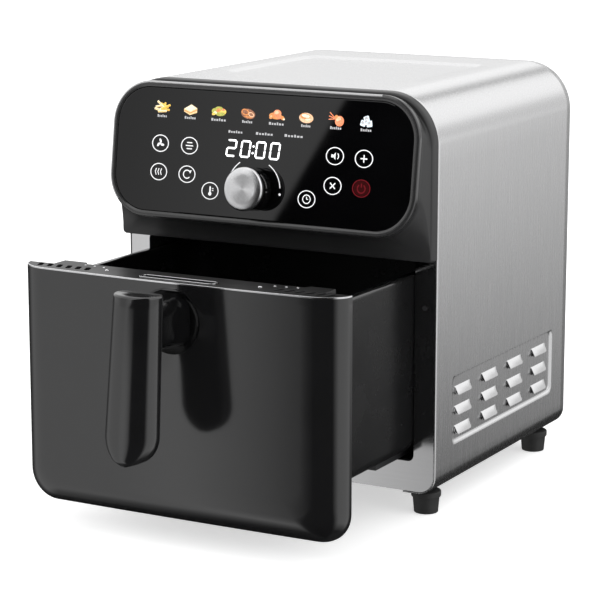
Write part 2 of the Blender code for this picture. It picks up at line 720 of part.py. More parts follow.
def make_drawer_front(drawer, screw_bores):
    steps = 6
    outer = []
    for i in range(steps + 1):
        y = DRAWER_FRONT_Y + DRAWER_EDGE_RADIUS * (1 - math.cos(math.pi / 2 * i / steps))
        outer.append(upright(drawer_ring(min(y, DRAWER_BACK_Y)), min(y, DRAWER_BACK_Y)))
    wall = DRAWER_WALL
    high = DRAWER_HIGH - LEDGE_THICKNESS - GAP - wall
    floor = rounded(0.1140, DRAWER_LOW + 0.024, high, 0.020, 0.002)
    mouth = rounded(WIDTH / 2 - wall, DRAWER_LOW + wall, high, DRAWER_CORNER_RADIUS - wall, 0.002)
    seat = DRAWER_BACK_Y - DRAWER_PLATE - GAP
    inner = [upright(mouth, DRAWER_BACK_Y), upright(mouth, seat), upright(floor, DRAWER_FRONT_Y + wall)]
    shell = node("drawer_front", loft(outer + inner), "black_gloss", drawer)
    combine(shell, screw_bores, "DIFFERENCE")


def make_drawer_inner_plate(drawer):
    wall = DRAWER_WALL + GAP
    high = DRAWER_HIGH - LEDGE_THICKNESS - GAP - wall
    outline = rounded(WIDTH / 2 - wall, DRAWER_LOW + wall, high, DRAWER_CORNER_RADIUS - wall, 0.0017)
    rings = [upright(outline, DRAWER_BACK_Y - DRAWER_PLATE), upright(outline, DRAWER_BACK_Y)]
    node("drawer_inner_plate", loft(rings), "black_satin", drawer)


def ledge_outline():
    """Round front corners that follow the drawer, and a tongue that reaches over the tub's front."""
    radius = DRAWER_EDGE_RADIUS - 0.0010
    half, front = WIDTH / 2 - 0.0004, DRAWER_FRONT_Y + 0.0004
    points = arc((radius - half, front + radius), radius, 180, 270, 6)
    points += arc((half - radius, front + radius), radius, 270, 360, 6)
    right = [(half, DRAWER_BACK_Y), (LEDGE_TONGUE_HALF_WIDTH, DRAWER_BACK_Y)]
    right.append((LEDGE_TONGUE_HALF_WIDTH, LEDGE_TONGUE_Y))
    return points + right + [(-x, y) for x, y in reversed(right)]


def make_ledge(drawer):
    low, high = DRAWER_HIGH - LEDGE_THICKNESS, DRAWER_HIGH
    outline = ledge_outline()
    ledge = node("drawer_ledge", loft([level(outline, low), level(outline, high)]), "black_satin", drawer)
    notches = []
    for sign in (-1, 1):
        for i in range(NOTCHES):
            x = sign * (NOTCH_START + NOTCH_PITCH * i)
            notches.append(box((x - 0.0016, x + 0.0016), (-0.1490, -0.1420), (low - 0.001, high + 0.001)))
    combine(ledge, cutter("ledge_notches", merged(notches), drawer), "DIFFERENCE")
    seat = rounded(SLOT_HALF_LENGTH + GAP, SLOT_Y[0] - GAP, SLOT_Y[1] + GAP, 0.004, 0.004, 4)
    depth = 0.0020
    recess = loft([level(seat, high - depth), level(seat, high + 0.001)])
    combine(ledge, cutter("slot_seat", recess, drawer), "DIFFERENCE")
    outer = rounded(SLOT_HALF_LENGTH, SLOT_Y[0], SLOT_Y[1], 0.0037, 0.0037, 4)
    inner = rounded(SLOT_HALF_LENGTH - 0.0014, SLOT_Y[0] + 0.0014, SLOT_Y[1] - 0.0014, 0.0023, 0.0023, 4)
    base, lip = high - depth + GAP, high + 0.0006
    rings = [level(outer, base), level(outer, lip), level(inner, lip), level(inner, base)]
    node("slot_trim", loft(rings, closed=True), "bright_steel", drawer)


def handle_at(z):
    """(half width, front y, back y) of the handle at height z."""
    share = (HANDLE_HIGH - z) / (HANDLE_HIGH - HANDLE_LOW)
    half = HANDLE_HALF_WIDTH_TOP + (HANDLE_HALF_WIDTH_LOW - HANDLE_HALF_WIDTH_TOP) * share
    front = HANDLE_FRONT_Y_TOP + (HANDLE_FRONT_Y_LOW - HANDLE_FRONT_Y_TOP) * share
    back = HANDLE_BACK_Y_TOP + (HANDLE_BACK_Y_LOW - HANDLE_BACK_Y_TOP) * share
    return half, front, back


def handle_width(z):
    """The half width at height z, with the round lower end taken off."""
    half = handle_at(z)[0]
    above = z - HANDLE_LOW
    if above >= half:
        return half
    return max(math.sqrt(half * half - (half - above) ** 2), 0.006)


def make_handle(drawer, screw_bores):
    levels, base = 12, HANDLE_LOW + 0.0006
    heights = [base + (HANDLE_HIGH - base) * (i / levels) ** 2.2 for i in range(levels + 1)]
    front_rings, back_rings = [], []
    for z in heights:
        half, (_, front, back) = handle_width(z), handle_at(z)
        seam = back - HANDLE_BACK_THICKNESS
        bulge = []
        for i in range(9):
            angle = math.pi * i / 8
            bulge.append((-half * math.cos(angle), seam - (seam - front) * math.sin(angle) ** 0.75))
        front_rings.append(level([(x, y - GAP / 2) for x, y in bulge], z))
        narrow, near = half * 0.82, seam + GAP / 2
        back_rings.append(level([(-half, near), (half, near), (narrow, back), (-narrow, back)], z))
    node("handle_grip_front", loft(front_rings), "black_gloss", drawer)
    node("handle_grip_back", loft(back_rings), "black_satin", drawer)

    outline = rounded(NECK_HALF_WIDTH, NECK_LOW, NECK_HIGH, 0.008, 0.008, 4)
    near = [(x, handle_at(z)[2] + GAP, z) for x, z in outline]
    wall = rounded(NECK_HALF_WIDTH + 0.003, NECK_LOW - 0.003, NECK_HIGH + 0.003, 0.010, 0.010, 4)
    rings = [near, upright(outline, -0.170), upright(wall, DRAWER_FRONT_Y - GAP)]
    neck = node("handle_neck", loft(rings), "black_gloss", drawer)
    combine(neck, screw_bores, "DIFFERENCE")
    for number, z in enumerate(HANDLE_SCREW_Z, 1):
        back = DRAWER_FRONT_Y + DRAWER_WALL + GAP
        profile = [(0.0018, DRAWER_FRONT_Y - 0.0140), (0.0018, back), (0.0040, back), (0.0034, back + 0.0026)]
        node(f"handle_screw_{number}", turned(profile, 16, axis="Y"), "bright_steel", drawer, (0.0, 0.0, z))


def handle_screw_bores(drawer):
    bores = []
    for z in HANDLE_SCREW_Z:
        bore = disc(0.0018 + GAP, DRAWER_FRONT_Y - 0.0150, DRAWER_FRONT_Y + DRAWER_WALL + 0.002, 16, axis="Y")
        bmesh.ops.translate(bore, verts=bore.verts, vec=(0.0, 0.0, z))
        bores.append(bore)
    return cutter("handle_screw_bores", merged(bores), drawer)


def make_tub(drawer):
    """A pressed pan with a folded lip all round and generous corner radii."""

    def ring(inset, z, corner):
        front, rear = TUB_FRONT_Y + inset, TUB_REAR_Y - inset
        return level(rounded(TUB_HALF_WIDTH - inset, front, rear, corner, corner), z)

    sheet = TUB_SHEET
    rings = [
        ring(0.0100, TUB_LOW, TUB_CORNER - 0.008),
        ring(0.0035, TUB_LOW + 0.0025, TUB_CORNER - 0.003),
        ring(0.0004, TUB_LOW + 0.0100, TUB_CORNER),
        ring(0.0, TUB_HIGH, TUB_CORNER),
        ring(TUB_LIP, TUB_HIGH, TUB_CORNER - 0.006),
        ring(TUB_LIP, TUB_HIGH - sheet, TUB_CORNER - 0.006),
        ring(0.0004 + sheet, TUB_HIGH - 0.0050, TUB_CORNER - 0.002),
        ring(0.0004 + sheet, TUB_LOW + 0.0110, TUB_CORNER - 0.002),
        ring(0.0040 + sheet, TUB_LOW + 0.0030 + sheet, TUB_CORNER - 0.005),
        ring(0.0100 + sheet, TUB_LOW + sheet, TUB_CORNER - 0.009),
    ]
    node("tub", loft(rings), "nonstick", drawer)
    for side, sign in (("left", -1), ("right", 1)):
        x = sorted((sign * (RAIL_X[0] + 0.002), sign * 0.1085))
        runner = box(x, (-0.0400, 0.0700), (TUB_LOW - 0.0068, TUB_LOW - GAP))
        node(f"tub_runner_{side}", runner, "black_satin", drawer)


def make_crisper(crisper):
    """A perforated plate over the tub's floor, with a bumper in the middle of each side."""
    half = CRISPER_HALF_WIDTH
    front, rear = CRISPER_Y
    xs = stripes(-half, half, 8, 0.0155, 0.0090)
    ys = stripes(front, rear, 7, 0.0165, 0.0090)

    def is_solid(column, row):
        return column % 2 == 0 or row % 2 == 0

    plate = grid_plate(xs, ys, CRISPER_Z, CRISPER_Z + CRISPER_SHEET, is_solid)
    node("crisper_plate", plate, "nonstick", crisper)

    near, far = GAP, GAP + 0.0038
    wide, middle = 0.0070, (front + rear) / 2
    across, along = (-wide, wide), (middle - wide, middle + wide)
    height = (CRISPER_Z - 0.0030, CRISPER_Z + 0.0050)
    for name, x, y in (
        ("left", (-half - far, -half - near), along),
        ("right", (half + near, half + far), along),
        ("front", across, (front - far, front - near)),
        ("rear", across, (rear + near, rear + far)),
    ):
        node(f"bumper_{name}", box(x, y, height), "silicone", crisper)


# ---------------------------------------------------------------- assembly


def build():
    clear_scene()
    casing = frame("casing_frame", (0.0, -MIDDLE_Y, FOOT_HEIGHT))
    panel = frame("panel_frame", PANEL_CENTRE, casing, -PANEL_TILT)
    knob_axis = frame("knob_axis", (KNOB_X, 0.0, KNOB_UP), panel)
    fan_axis = frame("fan_axis", (0.0, FAN_Y, 0.0), casing)
    switch_axis = frame("switch_axis", (SWITCH_X, 0.0, SWITCH_Z), casing)
    drawer = frame("drawer_frame", (0.0, 0.0, 0.0), casing)
    crisper = frame("crisper_frame", (0.0, 0.0, 0.0), drawer)

    make_wrap(casing)
    make_front_frame(casing)
    make_base_plate(casing)
    make_feet(casing)
    make_rear_cover(casing)
    make_cover_screws(casing)
    make_exhaust_grille(casing)
    make_cord_gland(casing)

    make_fascia(casing)
    make_panel(panel)
    make_knob(knob_axis)

    make_liner(casing)
    make_probe(casing)
    make_rails(casing)
    make_reflector(casing)
    make_heater(casing)
    make_heater_guard(casing)
    make_fan(fan_axis)
    make_motor(casing)
    make_power_parts(casing)
    make_drawer_switch(casing, switch_axis)

    screw_bores = handle_screw_bores(drawer)
    make_drawer_front(drawer, screw_bores)
    make_drawer_inner_plate(drawer)
    make_ledge(drawer)
    make_handle(drawer, screw_bores)
    make_tub(drawer)
    make_crisper(crisper)


build()
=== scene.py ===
"""Looks for the drawer air fryer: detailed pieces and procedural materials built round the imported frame.

Shapes are written in the casing's frame (x = 0 on the middle plane, y = 0 on the steel front, z = 0 on
the wrap's underside, front to -Y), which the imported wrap's box places in the row's frame."""

from math import cos, degrees, hypot, pi, radians, sin, sqrt

import bmesh
import bpy
from mathutils import Matrix, Vector


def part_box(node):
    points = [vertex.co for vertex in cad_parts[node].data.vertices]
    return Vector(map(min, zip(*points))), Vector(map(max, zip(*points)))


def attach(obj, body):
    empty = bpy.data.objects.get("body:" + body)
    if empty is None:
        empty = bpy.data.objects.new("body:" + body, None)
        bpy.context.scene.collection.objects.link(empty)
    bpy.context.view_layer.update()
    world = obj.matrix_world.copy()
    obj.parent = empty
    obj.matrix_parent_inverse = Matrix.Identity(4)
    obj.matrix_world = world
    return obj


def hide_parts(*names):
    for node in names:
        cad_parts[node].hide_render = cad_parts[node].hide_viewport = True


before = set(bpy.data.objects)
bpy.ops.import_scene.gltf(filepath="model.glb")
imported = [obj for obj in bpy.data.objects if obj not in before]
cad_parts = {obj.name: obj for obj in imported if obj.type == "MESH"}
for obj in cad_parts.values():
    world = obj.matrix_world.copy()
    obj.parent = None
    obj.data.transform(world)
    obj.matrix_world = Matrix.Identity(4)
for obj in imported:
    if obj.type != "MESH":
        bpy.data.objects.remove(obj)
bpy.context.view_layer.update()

# ---- sizes ----

WRAP_LOW, WRAP_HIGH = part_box("outer_wrap")
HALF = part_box("fascia_housing")[1].x
HEIGHT = WRAP_HIGH.z - WRAP_LOW.z
DEPTH = WRAP_HIGH.y - WRAP_LOW.y
FOOT_HEIGHT = WRAP_LOW.z
SHEET = 0.0008
TOP_RADIUS = 0.04
BOTTOM_RADIUS = 0.015
HEM = 0.0013
BASE_OPENING_X = 0.112
FOOT_X, FOOT_Y = 0.125, (0.016, 0.229)

VENT_Y = (0.052, 0.103, 0.1535, 0.204)
VENT_Z = (0.0775, 0.0614, 0.0455)
VENT_LENGTH, VENT_HALF_HEIGHT = 0.029, 0.0033
HOOD_STAND = 0.0036
PRESSING_Y, PRESSING_Z = (0.03, 0.231), (0.0345, 0.09)
PRESSING_DEPTH, PRESSING_BEVEL = 0.0016, 0.003
TOP_PRESSING_X, TOP_PRESSING_Y = 0.085, (0.055, 0.21)
TOP_PRESSING_DEPTH, TOP_PRESSING_BEVEL, TOP_PRESSING_CORNER = 0.0015, 0.006, 0.014

REAR_COVER_Y = (0.253, 0.256)
GLAND_X, GLAND_Z = 0.095, 0.04
EXHAUST_HALF_WIDTH, EXHAUST_Z = 0.075, (0.185, 0.285)
EXHAUST_BACK = 0.2745
COVER_SCREWS = ((-0.118, 0.03), (0.118, 0.03), (-0.118, 0.262), (0.118, 0.262))

OPENING_HALF_WIDTH, OPENING_Z = 0.121, (0.026, 0.1866)
SWITCH_X, SWITCH_Z = 0.13, 0.15
FASCIA_BOTTOM, FASCIA_LIP_Y = 0.1873, -0.011
PANEL_TILT = radians(8.0)
PANEL_CENTRE = (0.0, -0.0289, 0.267)
RIM_HALF_WIDTH, RIM_LOW, RIM_HIGH, RIM_RADIUS, RIM_BAND = 0.1368, -0.0591, 0.0494, 0.034, 0.005
GLASS_FRONT, PRINT_DEPTH = 0.0004, 0.00025
KNOB_X, KNOB_UP, KNOB_RADIUS, KNOB_HEIGHT = -0.0025, -0.03, 0.017, 0.019

DRAWER_FRONT_Y, DRAWER_BACK_Y = -0.162, -0.1403
DRAWER_BOW, DRAWER_TURN = 0.0026, 0.0235
DRAWER_LOW, DRAWER_HIGH = -0.001, 0.1858
LEDGE_THICKNESS = 0.0035
TONGUE_HALF_WIDTH, TONGUE_Y = 0.1185, -0.13
TRIM_HEIGHT, TRIM_WIDTH = 0.0013, 0.0011
SLOT_HALF_LENGTH, SLOT_Y = 0.033, (-0.1553, -0.145)
DISH_Z, DISH_RADIUS, DISH_DEPTH = 0.1565, 0.0245, 0.007
TUB_HALF_WIDTH, TUB_Y, TUB_Z = 0.1204, (-0.14, 0.075), (0.0337, 0.1758)
TUB_SHEET, TUB_LIP, TUB_CORNER = 0.0015, 0.0065, 0.026
CRISPER_Z, CRISPER_HALF_WIDTH, CRISPER_Y = 0.052, 0.106, (-0.129, 0.064)

HANDLE_Z = (0.061, 0.185)
HANDLE_FRONT_Y = (-0.2315, -0.218)
HANDLE_BACK_Y = (-0.21, -0.198)
HANDLE_HALF_WIDTH = (0.0225, 0.0195)
HANDLE_BACK_THICKNESS = 0.006
NECK_HALF_WIDTH, NECK_Z = 0.013, (0.14, 0.175)

CASING = Matrix.Translation((0.0, WRAP_LOW.y, WRAP_LOW.z))
PANEL = CASING @ Matrix.Translation(PANEL_CENTRE) @ Matrix.Rotation(-PANEL_TILT, 4, "X")
KNOB = PANEL @ Matrix.Translation((KNOB_X, 0.0, KNOB_UP))


# ---- materials ----


def shader_of(name):
    made = bpy.data.materials.new(name)
    made.use_nodes = True
    return made, made.node_tree, made.node_tree.nodes["Principled BSDF"]


def put(tree, node, **inputs):
    """Sets inputs to numbers, or links them to other nodes' outputs. Underscores stand for spaces."""
    for key, value in inputs.items():
        slot = node.inputs[key.replace("_", " ")]
        if isinstance(value, bpy.types.NodeSocket):
            tree.links.new(value, slot)
        else:
            slot.default_value = value
    return node


def add(tree, kind, **inputs):
    return put(tree, tree.nodes.new(kind), **inputs)


def step(tree, source, start, end, low, high):
    """low where the source is at start, and high where it is at end."""
    made = add(tree, "ShaderNodeMapRange", Value=source, From_Min=start, From_Max=end, To_Min=low,
               To_Max=high)
    return made.outputs["Result"]


def spread(tree, source, low, high):
    """A 0 to 1 pattern mapped to the range from low to high."""
    return step(tree, source, 0.3, 0.7, low, high)


def tint(tree, source, colors, low=0.3, high=0.7):
    ramp = add(tree, "ShaderNodeValToRGB", Fac=source)
    elements = ramp.color_ramp.elements
    elements[0].position, elements[1].position = low, high
    elements[0].color, elements[1].color = (*colors[0], 1.0), (*colors[1], 1.0)
    return ramp.outputs["Color"]


def pattern(tree, scale, stretch=(1.0, 1.0, 1.0), detail=4.0, kind="noise"):
    """A procedural pattern in the piece's own coordinates: scale is in cells per metre."""
    where = tree.nodes.new("ShaderNodeTexCoord")
    mapping = add(tree, "ShaderNodeMapping", Scale=stretch, Vector=where.outputs["Object"])
    spot = mapping.outputs["Vector"]
    if kind == "noise":
        return add(tree, "ShaderNodeTexNoise", Vector=spot, Scale=scale, Detail=detail,
                   Roughness=0.6).outputs["Fac"]
    if kind == "cells":
        return add(tree, "ShaderNodeTexVoronoi", Vector=spot, Scale=scale).outputs["Distance"]
    made = add(tree, "ShaderNodeTexWave", Vector=spot, Scale=scale, Distortion=0.4, Detail=2.0)
    made.wave_type = "RINGS"
    made.rings_direction = "Y"
    return made.outputs["Fac"]


def relief(tree, source, strength, height):
    return add(tree, "ShaderNodeBump", Height=source, Strength=strength, Distance=height).outputs["Normal"]


def moulded(name, dark, light, rough, grain=900.0, height=0.00004, strength=0.25, gloss=0.5, coat=0.0):
    """A moulded or painted surface: slow shade changes, uneven gloss and a fine grain."""
    made, tree, shader = shader_of(name)
    slow = pattern(tree, 14.0)
    fine = pattern(tree, grain, detail=2.0)
    put(tree, shader, Base_Color=tint(tree, slow, (dark, light)), Roughness=spread(tree, slow, *rough),
        Normal=relief(tree, fine, strength, height), Specular_IOR_Level=gloss, Coat_Weight=coat,
        Coat_Roughness=0.06)
    return made


def metal(name, dark, light, rough, stretch, scale=60.0, height=0.00003, strength=0.15):
    """A metal with grain drawn out along one axis."""
    made, tree, shader = shader_of(name)
    grain = pattern(tree, scale, stretch, detail=8.0)
    put(tree, shader, Base_Color=tint(tree, grain, (dark, light)), Roughness=spread(tree, grain, *rough),
        Normal=relief(tree, grain, strength, height), Metallic=1.0)
    return made


def radial_metal(name, dark, light):
    """A turned metal face: fine rings about the knob's axis that fan the light out."""
    made, tree, shader = shader_of(name)
    rings = pattern(tree, 900.0, kind="rings")
    around = tree.nodes.new("ShaderNodeTangent")
    around.direction_type = "RADIAL"
    around.axis = "Y"
    put(tree, shader, Base_Color=tint(tree, pattern(tree, 60.0), (dark, light)),
        Roughness=spread(tree, rings, 0.2, 0.34), Normal=relief(tree, rings, 0.12, 0.00002),
        Tangent=around.outputs["Tangent"], Metallic=1.0, Anisotropic=0.75)
    return made


def speckled(name, dark, light, rough, scale=1400.0, spot=0.16, metallic=0.0):
    """A sprayed or cast coating with small lighter specks."""
    made, tree, shader = shader_of(name)
    spots = pattern(tree, scale, kind="cells")
    put(tree, shader, Base_Color=tint(tree, spots, (light, dark), spot, spot + 0.12),
        Roughness=spread(tree, pattern(tree, 30.0), *rough), Normal=relief(tree, spots, 0.2, 0.00003),
        Metallic=metallic)
    return made


def lit_print(name, dark, light, power, scale=500.0):
    """Back-lit or printed marks on the glass."""
    made, tree, shader = shader_of(name)
    color = tint(tree, pattern(tree, scale), (dark, light))
    put(tree, shader, Base_Color=color, Emission_Color=color, Emission_Strength=power, Roughness=0.5,
        Specular_IOR_Level=0.08)
    return made


def grey(level, blue):
    return (level, level, blue)


UP, ACROSS, EVEN = (14.0, 14.0, 0.35), (0.35, 14.0, 14.0), (1.0, 1.0, 1.0)
M = {
    "steel": metal("brushed_steel", grey(0.645, 0.65), grey(0.685, 0.69), (0.24, 0.29), UP, 70.0, 0.00002,
                   0.035),
    "flange": metal("polished_steel", grey(0.6, 0.605), grey(0.63, 0.635), (0.09, 0.12), ACROSS,
                    strength=0.01),
    "hood": metal("pressed_steel", grey(0.66, 0.665), grey(0.7, 0.705), (0.14, 0.18), UP, 70.0, 0.00002,
                  0.01),
    "bright": metal("bright_steel", grey(0.66, 0.67), grey(0.8, 0.81), (0.12, 0.22), EVEN, 300.0),
    "knob_face": radial_metal("turned_steel", grey(0.76, 0.77), grey(0.86, 0.87)),
    "gloss": moulded("black_gloss", grey(0.0045, 0.0048), grey(0.0065, 0.0068), (0.1, 0.13), 420.0,
                     strength=0.015, gloss=0.95),
    "ledge": moulded("ledge_satin", grey(0.012, 0.0124), grey(0.017, 0.0175), (0.34, 0.42), gloss=0.3),
    "lip": moulded("black_lip", grey(0.006, 0.0062), grey(0.01, 0.0102), (0.1, 0.14), 420.0, gloss=0.9),
    "satin": moulded("black_satin", grey(0.018, 0.019), grey(0.026, 0.027), (0.36, 0.46)),
    "fascia": moulded("fascia_satin", grey(0.02, 0.0205), grey(0.026, 0.0265), (0.3, 0.38), strength=0.05,
                      gloss=0.3),
    "rim": moulded("rim_grey", grey(0.018, 0.0185), grey(0.024, 0.0245), (0.17, 0.22), strength=0.03,
                   gloss=0.8,
                   coat=0.1),
    # painted highlight: a lighter metal finish laid on the rim's left and top outer edge, standing in for the
    # bright line that light puts there
    "painted_rim_highlight": metal("painted_rim_edge_highlight", grey(0.5, 0.505), grey(0.56, 0.565), (0.34, 0.42), EVEN, 300.0,
                      strength=0.02),
    "glass": moulded("touch_glass", grey(0.0012, 0.0014), grey(0.0022, 0.0025), (0.015, 0.03), 200.0,
                     strength=0.004),
    "tub": speckled("nonstick", grey(0.007, 0.0073), grey(0.02, 0.021), (0.2, 0.3)),
    "rubber": moulded("rubber", grey(0.01, 0.01), grey(0.018, 0.018), (0.55, 0.7), 1500.0, strength=0.4),
    "silicone": moulded("silicone", grey(0.06, 0.062), grey(0.085, 0.088), (0.5, 0.62), 1200.0),
    "zinc": speckled("galvanised", (0.42, 0.43, 0.44), (0.6, 0.61, 0.62), (0.3, 0.45), 160.0, 0.25, 1.0),
    "alu": metal("aluminium", (0.58, 0.59, 0.6), (0.74, 0.75, 0.76), (0.28, 0.42), EVEN, 500.0, strength=0.2),
    "heater": metal("heater_sheath", (0.1, 0.085, 0.075), (0.2, 0.18, 0.16), (0.42, 0.6), EVEN, 250.0),
    "board": speckled("board_lacquer", (0.02, 0.12, 0.05), (0.12, 0.3, 0.14), (0.3, 0.45), 500.0, 0.1),
    "white": moulded("white_plastic", grey(0.7, 0.68), grey(0.8, 0.78), (0.38, 0.5)),
    "iron": metal("laminated_iron", (0.055, 0.05, 0.045), (0.13, 0.12, 0.11), (0.45, 0.65),
                  (0.4, 30.0, 0.4), 60.0),
    "print": lit_print("print_white", grey(0.66, 0.67), grey(0.76, 0.77), 0.62),
    "faint": lit_print("print_grey", grey(0.4, 0.41), grey(0.48, 0.49), 0.45),
    "digits": lit_print("display_white", (0.92, 0.93, 0.95), grey(1.0, 1.0), 1.5),
    "power": lit_print("print_red", (0.085, 0.003, 0.006), (0.12, 0.005, 0.009), 0.65),
    "ember": lit_print("print_dark_red", (0.022, 0.0003, 0.0006), (0.034, 0.0006, 0.001), 0.55),
}
FOOD = {
    "gold": ((0.9, 0.52, 0.08), (0.98, 0.74, 0.22)),
    "tan": ((0.78, 0.5, 0.22), (0.96, 0.76, 0.45)),
    "cream": ((0.9, 0.78, 0.55), (0.98, 0.9, 0.72)),
    "olive": ((0.3, 0.34, 0.06), (0.62, 0.58, 0.16)),
    "brown": ((0.18, 0.07, 0.04), (0.45, 0.22, 0.14)),
    "rust": ((0.55, 0.16, 0.05), (0.88, 0.42, 0.16)),
    "peach": ((0.8, 0.4, 0.2), (0.98, 0.72, 0.5)),
    "coral": ((0.8, 0.16, 0.07), (0.98, 0.42, 0.22)),
    "ice": ((0.55, 0.72, 0.82), (0.95, 0.98, 1.0)),
}
for key, (dark, light) in FOOD.items():
    M[key] = lit_print(f"picture_{key}", dark, light, 0.3, 900.0)


# ---- mesh helpers ----


def linked(name, data):
    obj = bpy.data.objects.new(name, data)
    bpy.context.scene.collection.objects.link(obj)
    return obj


def piece(name, mesh, finish, body, replaces=(), place=CASING, sharp=32.0):
    """A finished piece from a bmesh. finish is a key of M, or several for the faces' material indices."""
    finishes = [finish] if isinstance(finish, str) else finish
    data = bpy.data.meshes.new(name)
    mesh.to_mesh(data)
    mesh.free()
    data.shade_smooth()
    data.set_sharp_from_angle(angle=radians(sharp))
    for key in finishes:
        data.materials.append(M[key])
    obj = linked(name, data)
    obj.matrix_world = place
    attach(obj, body)
    if replaces:
        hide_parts(*replaces)
    return obj


def soften(obj, width, segments=2, angle=30.0):
    bevel = obj.modifiers.new("edges", "BEVEL")
    bevel.width = width
    bevel.segments = segments
    bevel.limit_method = "ANGLE"
    bevel.angle_limit = radians(angle)
    bevel.harden_normals = True


def arc(centre, radius, start, end, steps):
    points = []
    for i in range(steps + 1):
        angle = radians(start + (end - start) * i / steps)
        points.append((centre[0] + radius * cos(angle), centre[1] + radius * sin(angle)))
    return points


def between(a, b, count):
    """count points inside the segment from a to b."""
    return [(a[0] + (b[0] - a[0]) * i / (count + 1), a[1] + (b[1] - a[1]) * i / (count + 1))
            for i in range(1, count + 1)]


def rounded(half, low, high, low_radius, high_radius, steps=12, straight=0):
    """A rectangle with round corners, with some points along its straight sides too."""
    corners = [
        arc((half - low_radius, low + low_radius), low_radius, -90, 0, steps),
        arc((half - high_radius, high - high_radius), high_radius, 0, 90, steps),
        arc((high_radius - half, high - high_radius), high_radius, 90, 180, steps),
        arc((low_radius - half, low + low_radius), low_radius, 180, 270, steps),
    ]
    points = []
    for number, corner in enumerate(corners):
        following = corners[(number + 1) % 4]
        points += corner + between(corner[-1], following[0], straight)
    return points


def circle(centre, radius, steps=24, start=0.0):
    return arc(centre, radius, start, start + 360.0 * (steps - 1) / steps, steps - 1)


def moved(outline, a, b, turn=0.0):
    """The outline turned about the origin, then moved by (a, b)."""
    c, s = cos(radians(turn)), sin(radians(turn))
    return [(a + u * c - v * s, b + u * s + v * c) for u, v in outline]


def bar_outline(half, width, radius, steps=4):
    return rounded(half, -width, width, radius, radius, steps)


def upright(outline, y):
    return [(x, y, z) for x, z in outline]


def level(outline, z):
    return [(x, y, z) for x, y in outline]


def loft(rings, closed=False, caps=True, ring_closed=True):
    """Faces between rings of equal length. closed joins the last ring to the first."""
    mesh = bmesh.new()
    rows = [[mesh.verts.new(point) for point in ring] for ring in rings]
    count = len(rows[0])
    pairs = list(zip(rows, rows[1:])) + ([(rows[-1], rows[0])] if closed else [])
    for near, far in pairs:
        for i in range(count if ring_closed else count - 1):
            j = (i + 1) % count
            mesh.faces.new((near[i], near[j], far[j], far[i]))
    if caps and not closed and ring_closed:
        mesh.faces.new(rows[0])
        mesh.faces.new(rows[-1])
    bmesh.ops.recalc_face_normals(mesh, faces=mesh.faces)
    return mesh


def turned(profile, steps=48, closed=False, axis="Z", centre=(0.0, 0.0, 0.0)):
    rings = []
    for radius, height in profile:
        ring = circle((0.0, 0.0), radius, steps)
        if axis == "Z":
            rings.append([(a + centre[0], b + centre[1], height + centre[2]) for a, b in ring])
        else:
            rings.append([(a + centre[0], height + centre[1], centre[2] - b) for a, b in ring])
    return loft(rings, closed)


def merged(shapes):
    whole = bmesh.new()
    for shape in shapes:
        data = bpy.data.meshes.new("joined")
        shape.to_mesh(data)
        shape.free()
        whole.from_mesh(data)
        bpy.data.meshes.remove(data)
    return whole


def plate(outline, holes, low, high, lift=level):
    """A flat plate between two heights with any number of holes through it."""
    mesh = bmesh.new()
    edges = []
    for loop in [outline] + list(holes):
        verts = [mesh.verts.new(point) for point in lift(loop, low)]
        edges += [mesh.edges.new((a, b)) for a, b in zip(verts, verts[1:] + verts[:1])]
    bmesh.ops.triangle_fill(mesh, use_beauty=True, edges=edges)
    faces = list(mesh.faces)
    grown = bmesh.ops.extrude_face_region(mesh, geom=faces)
    step = Vector(lift([(0.0, 0.0)], high)[0]) - Vector(lift([(0.0, 0.0)], low)[0])
    bmesh.ops.translate(mesh, verts=[g for g in grown["geom"] if isinstance(g, bmesh.types.BMVert)], vec=step)
    bmesh.ops.recalc_face_normals(mesh, faces=mesh.faces)
    return mesh


def screw(x, z, y, radius=0.0036):
    """A pan head standing on the plane at y and facing +Y."""
    profile = [(radius, y), (radius, y + 0.0008), (radius * 0.86, y + 0.0017), (radius * 0.5, y + 0.0022),
               (radius * 0.42, y + 0.0022)]
    return turned(profile, 24, axis="Y", centre=(x, 0.0, z))


def smooth(t):
    t = min(1.0, max(0.0, t))
    return t * t * (3.0 - 2.0 * t)


def inside_distance(u, v, half_u, half_v, radius):
    """How far (u, v) lies inside a rounded rectangle about the origin."""
    du, dv = abs(u) - half_u + radius, abs(v) - half_v + radius
    return radius - hypot(max(du, 0.0), max(dv, 0.0)) - min(max(du, dv), 0.0)


def lines(*groups):
    """Sorted grid lines without near repeats."""
    values = sorted(v for group in groups for v in group)
    kept = values[:1]
    for value in values[1:]:
        if value - kept[-1] > 0.00012:
            kept.append(value)
    return kept


def run(start, end, count):
    return [start + (end - start) * i / count for i in range(count + 1)]


# ---- steel wrap and front ----


def side_offset(y, z):
    """The pressing's depth: soft edges below and behind, a crisp one above."""
    low, high = PRESSING_Z[0], PRESSING_Z[1] + 0.002
    middle_y, middle_z = sum(PRESSING_Y) / 2, (low + high) / 2
    half_y, half_z = PRESSING_Y[1] - middle_y, high - middle_z
    depth = inside_distance(y - middle_y, z - middle_z, half_y, half_z, 0.0075) / PRESSING_BEVEL
    return -PRESSING_DEPTH * min(smooth(depth), smooth((PRESSING_Z[1] - z) / 0.0011))


def top_offset(x, y):
    middle = sum(TOP_PRESSING_Y) / 2
    inside = inside_distance(x, y - middle, TOP_PRESSING_X, TOP_PRESSING_Y[1] - middle, TOP_PRESSING_CORNER)
    return -TOP_PRESSING_DEPTH * smooth(inside / TOP_PRESSING_BEVEL)


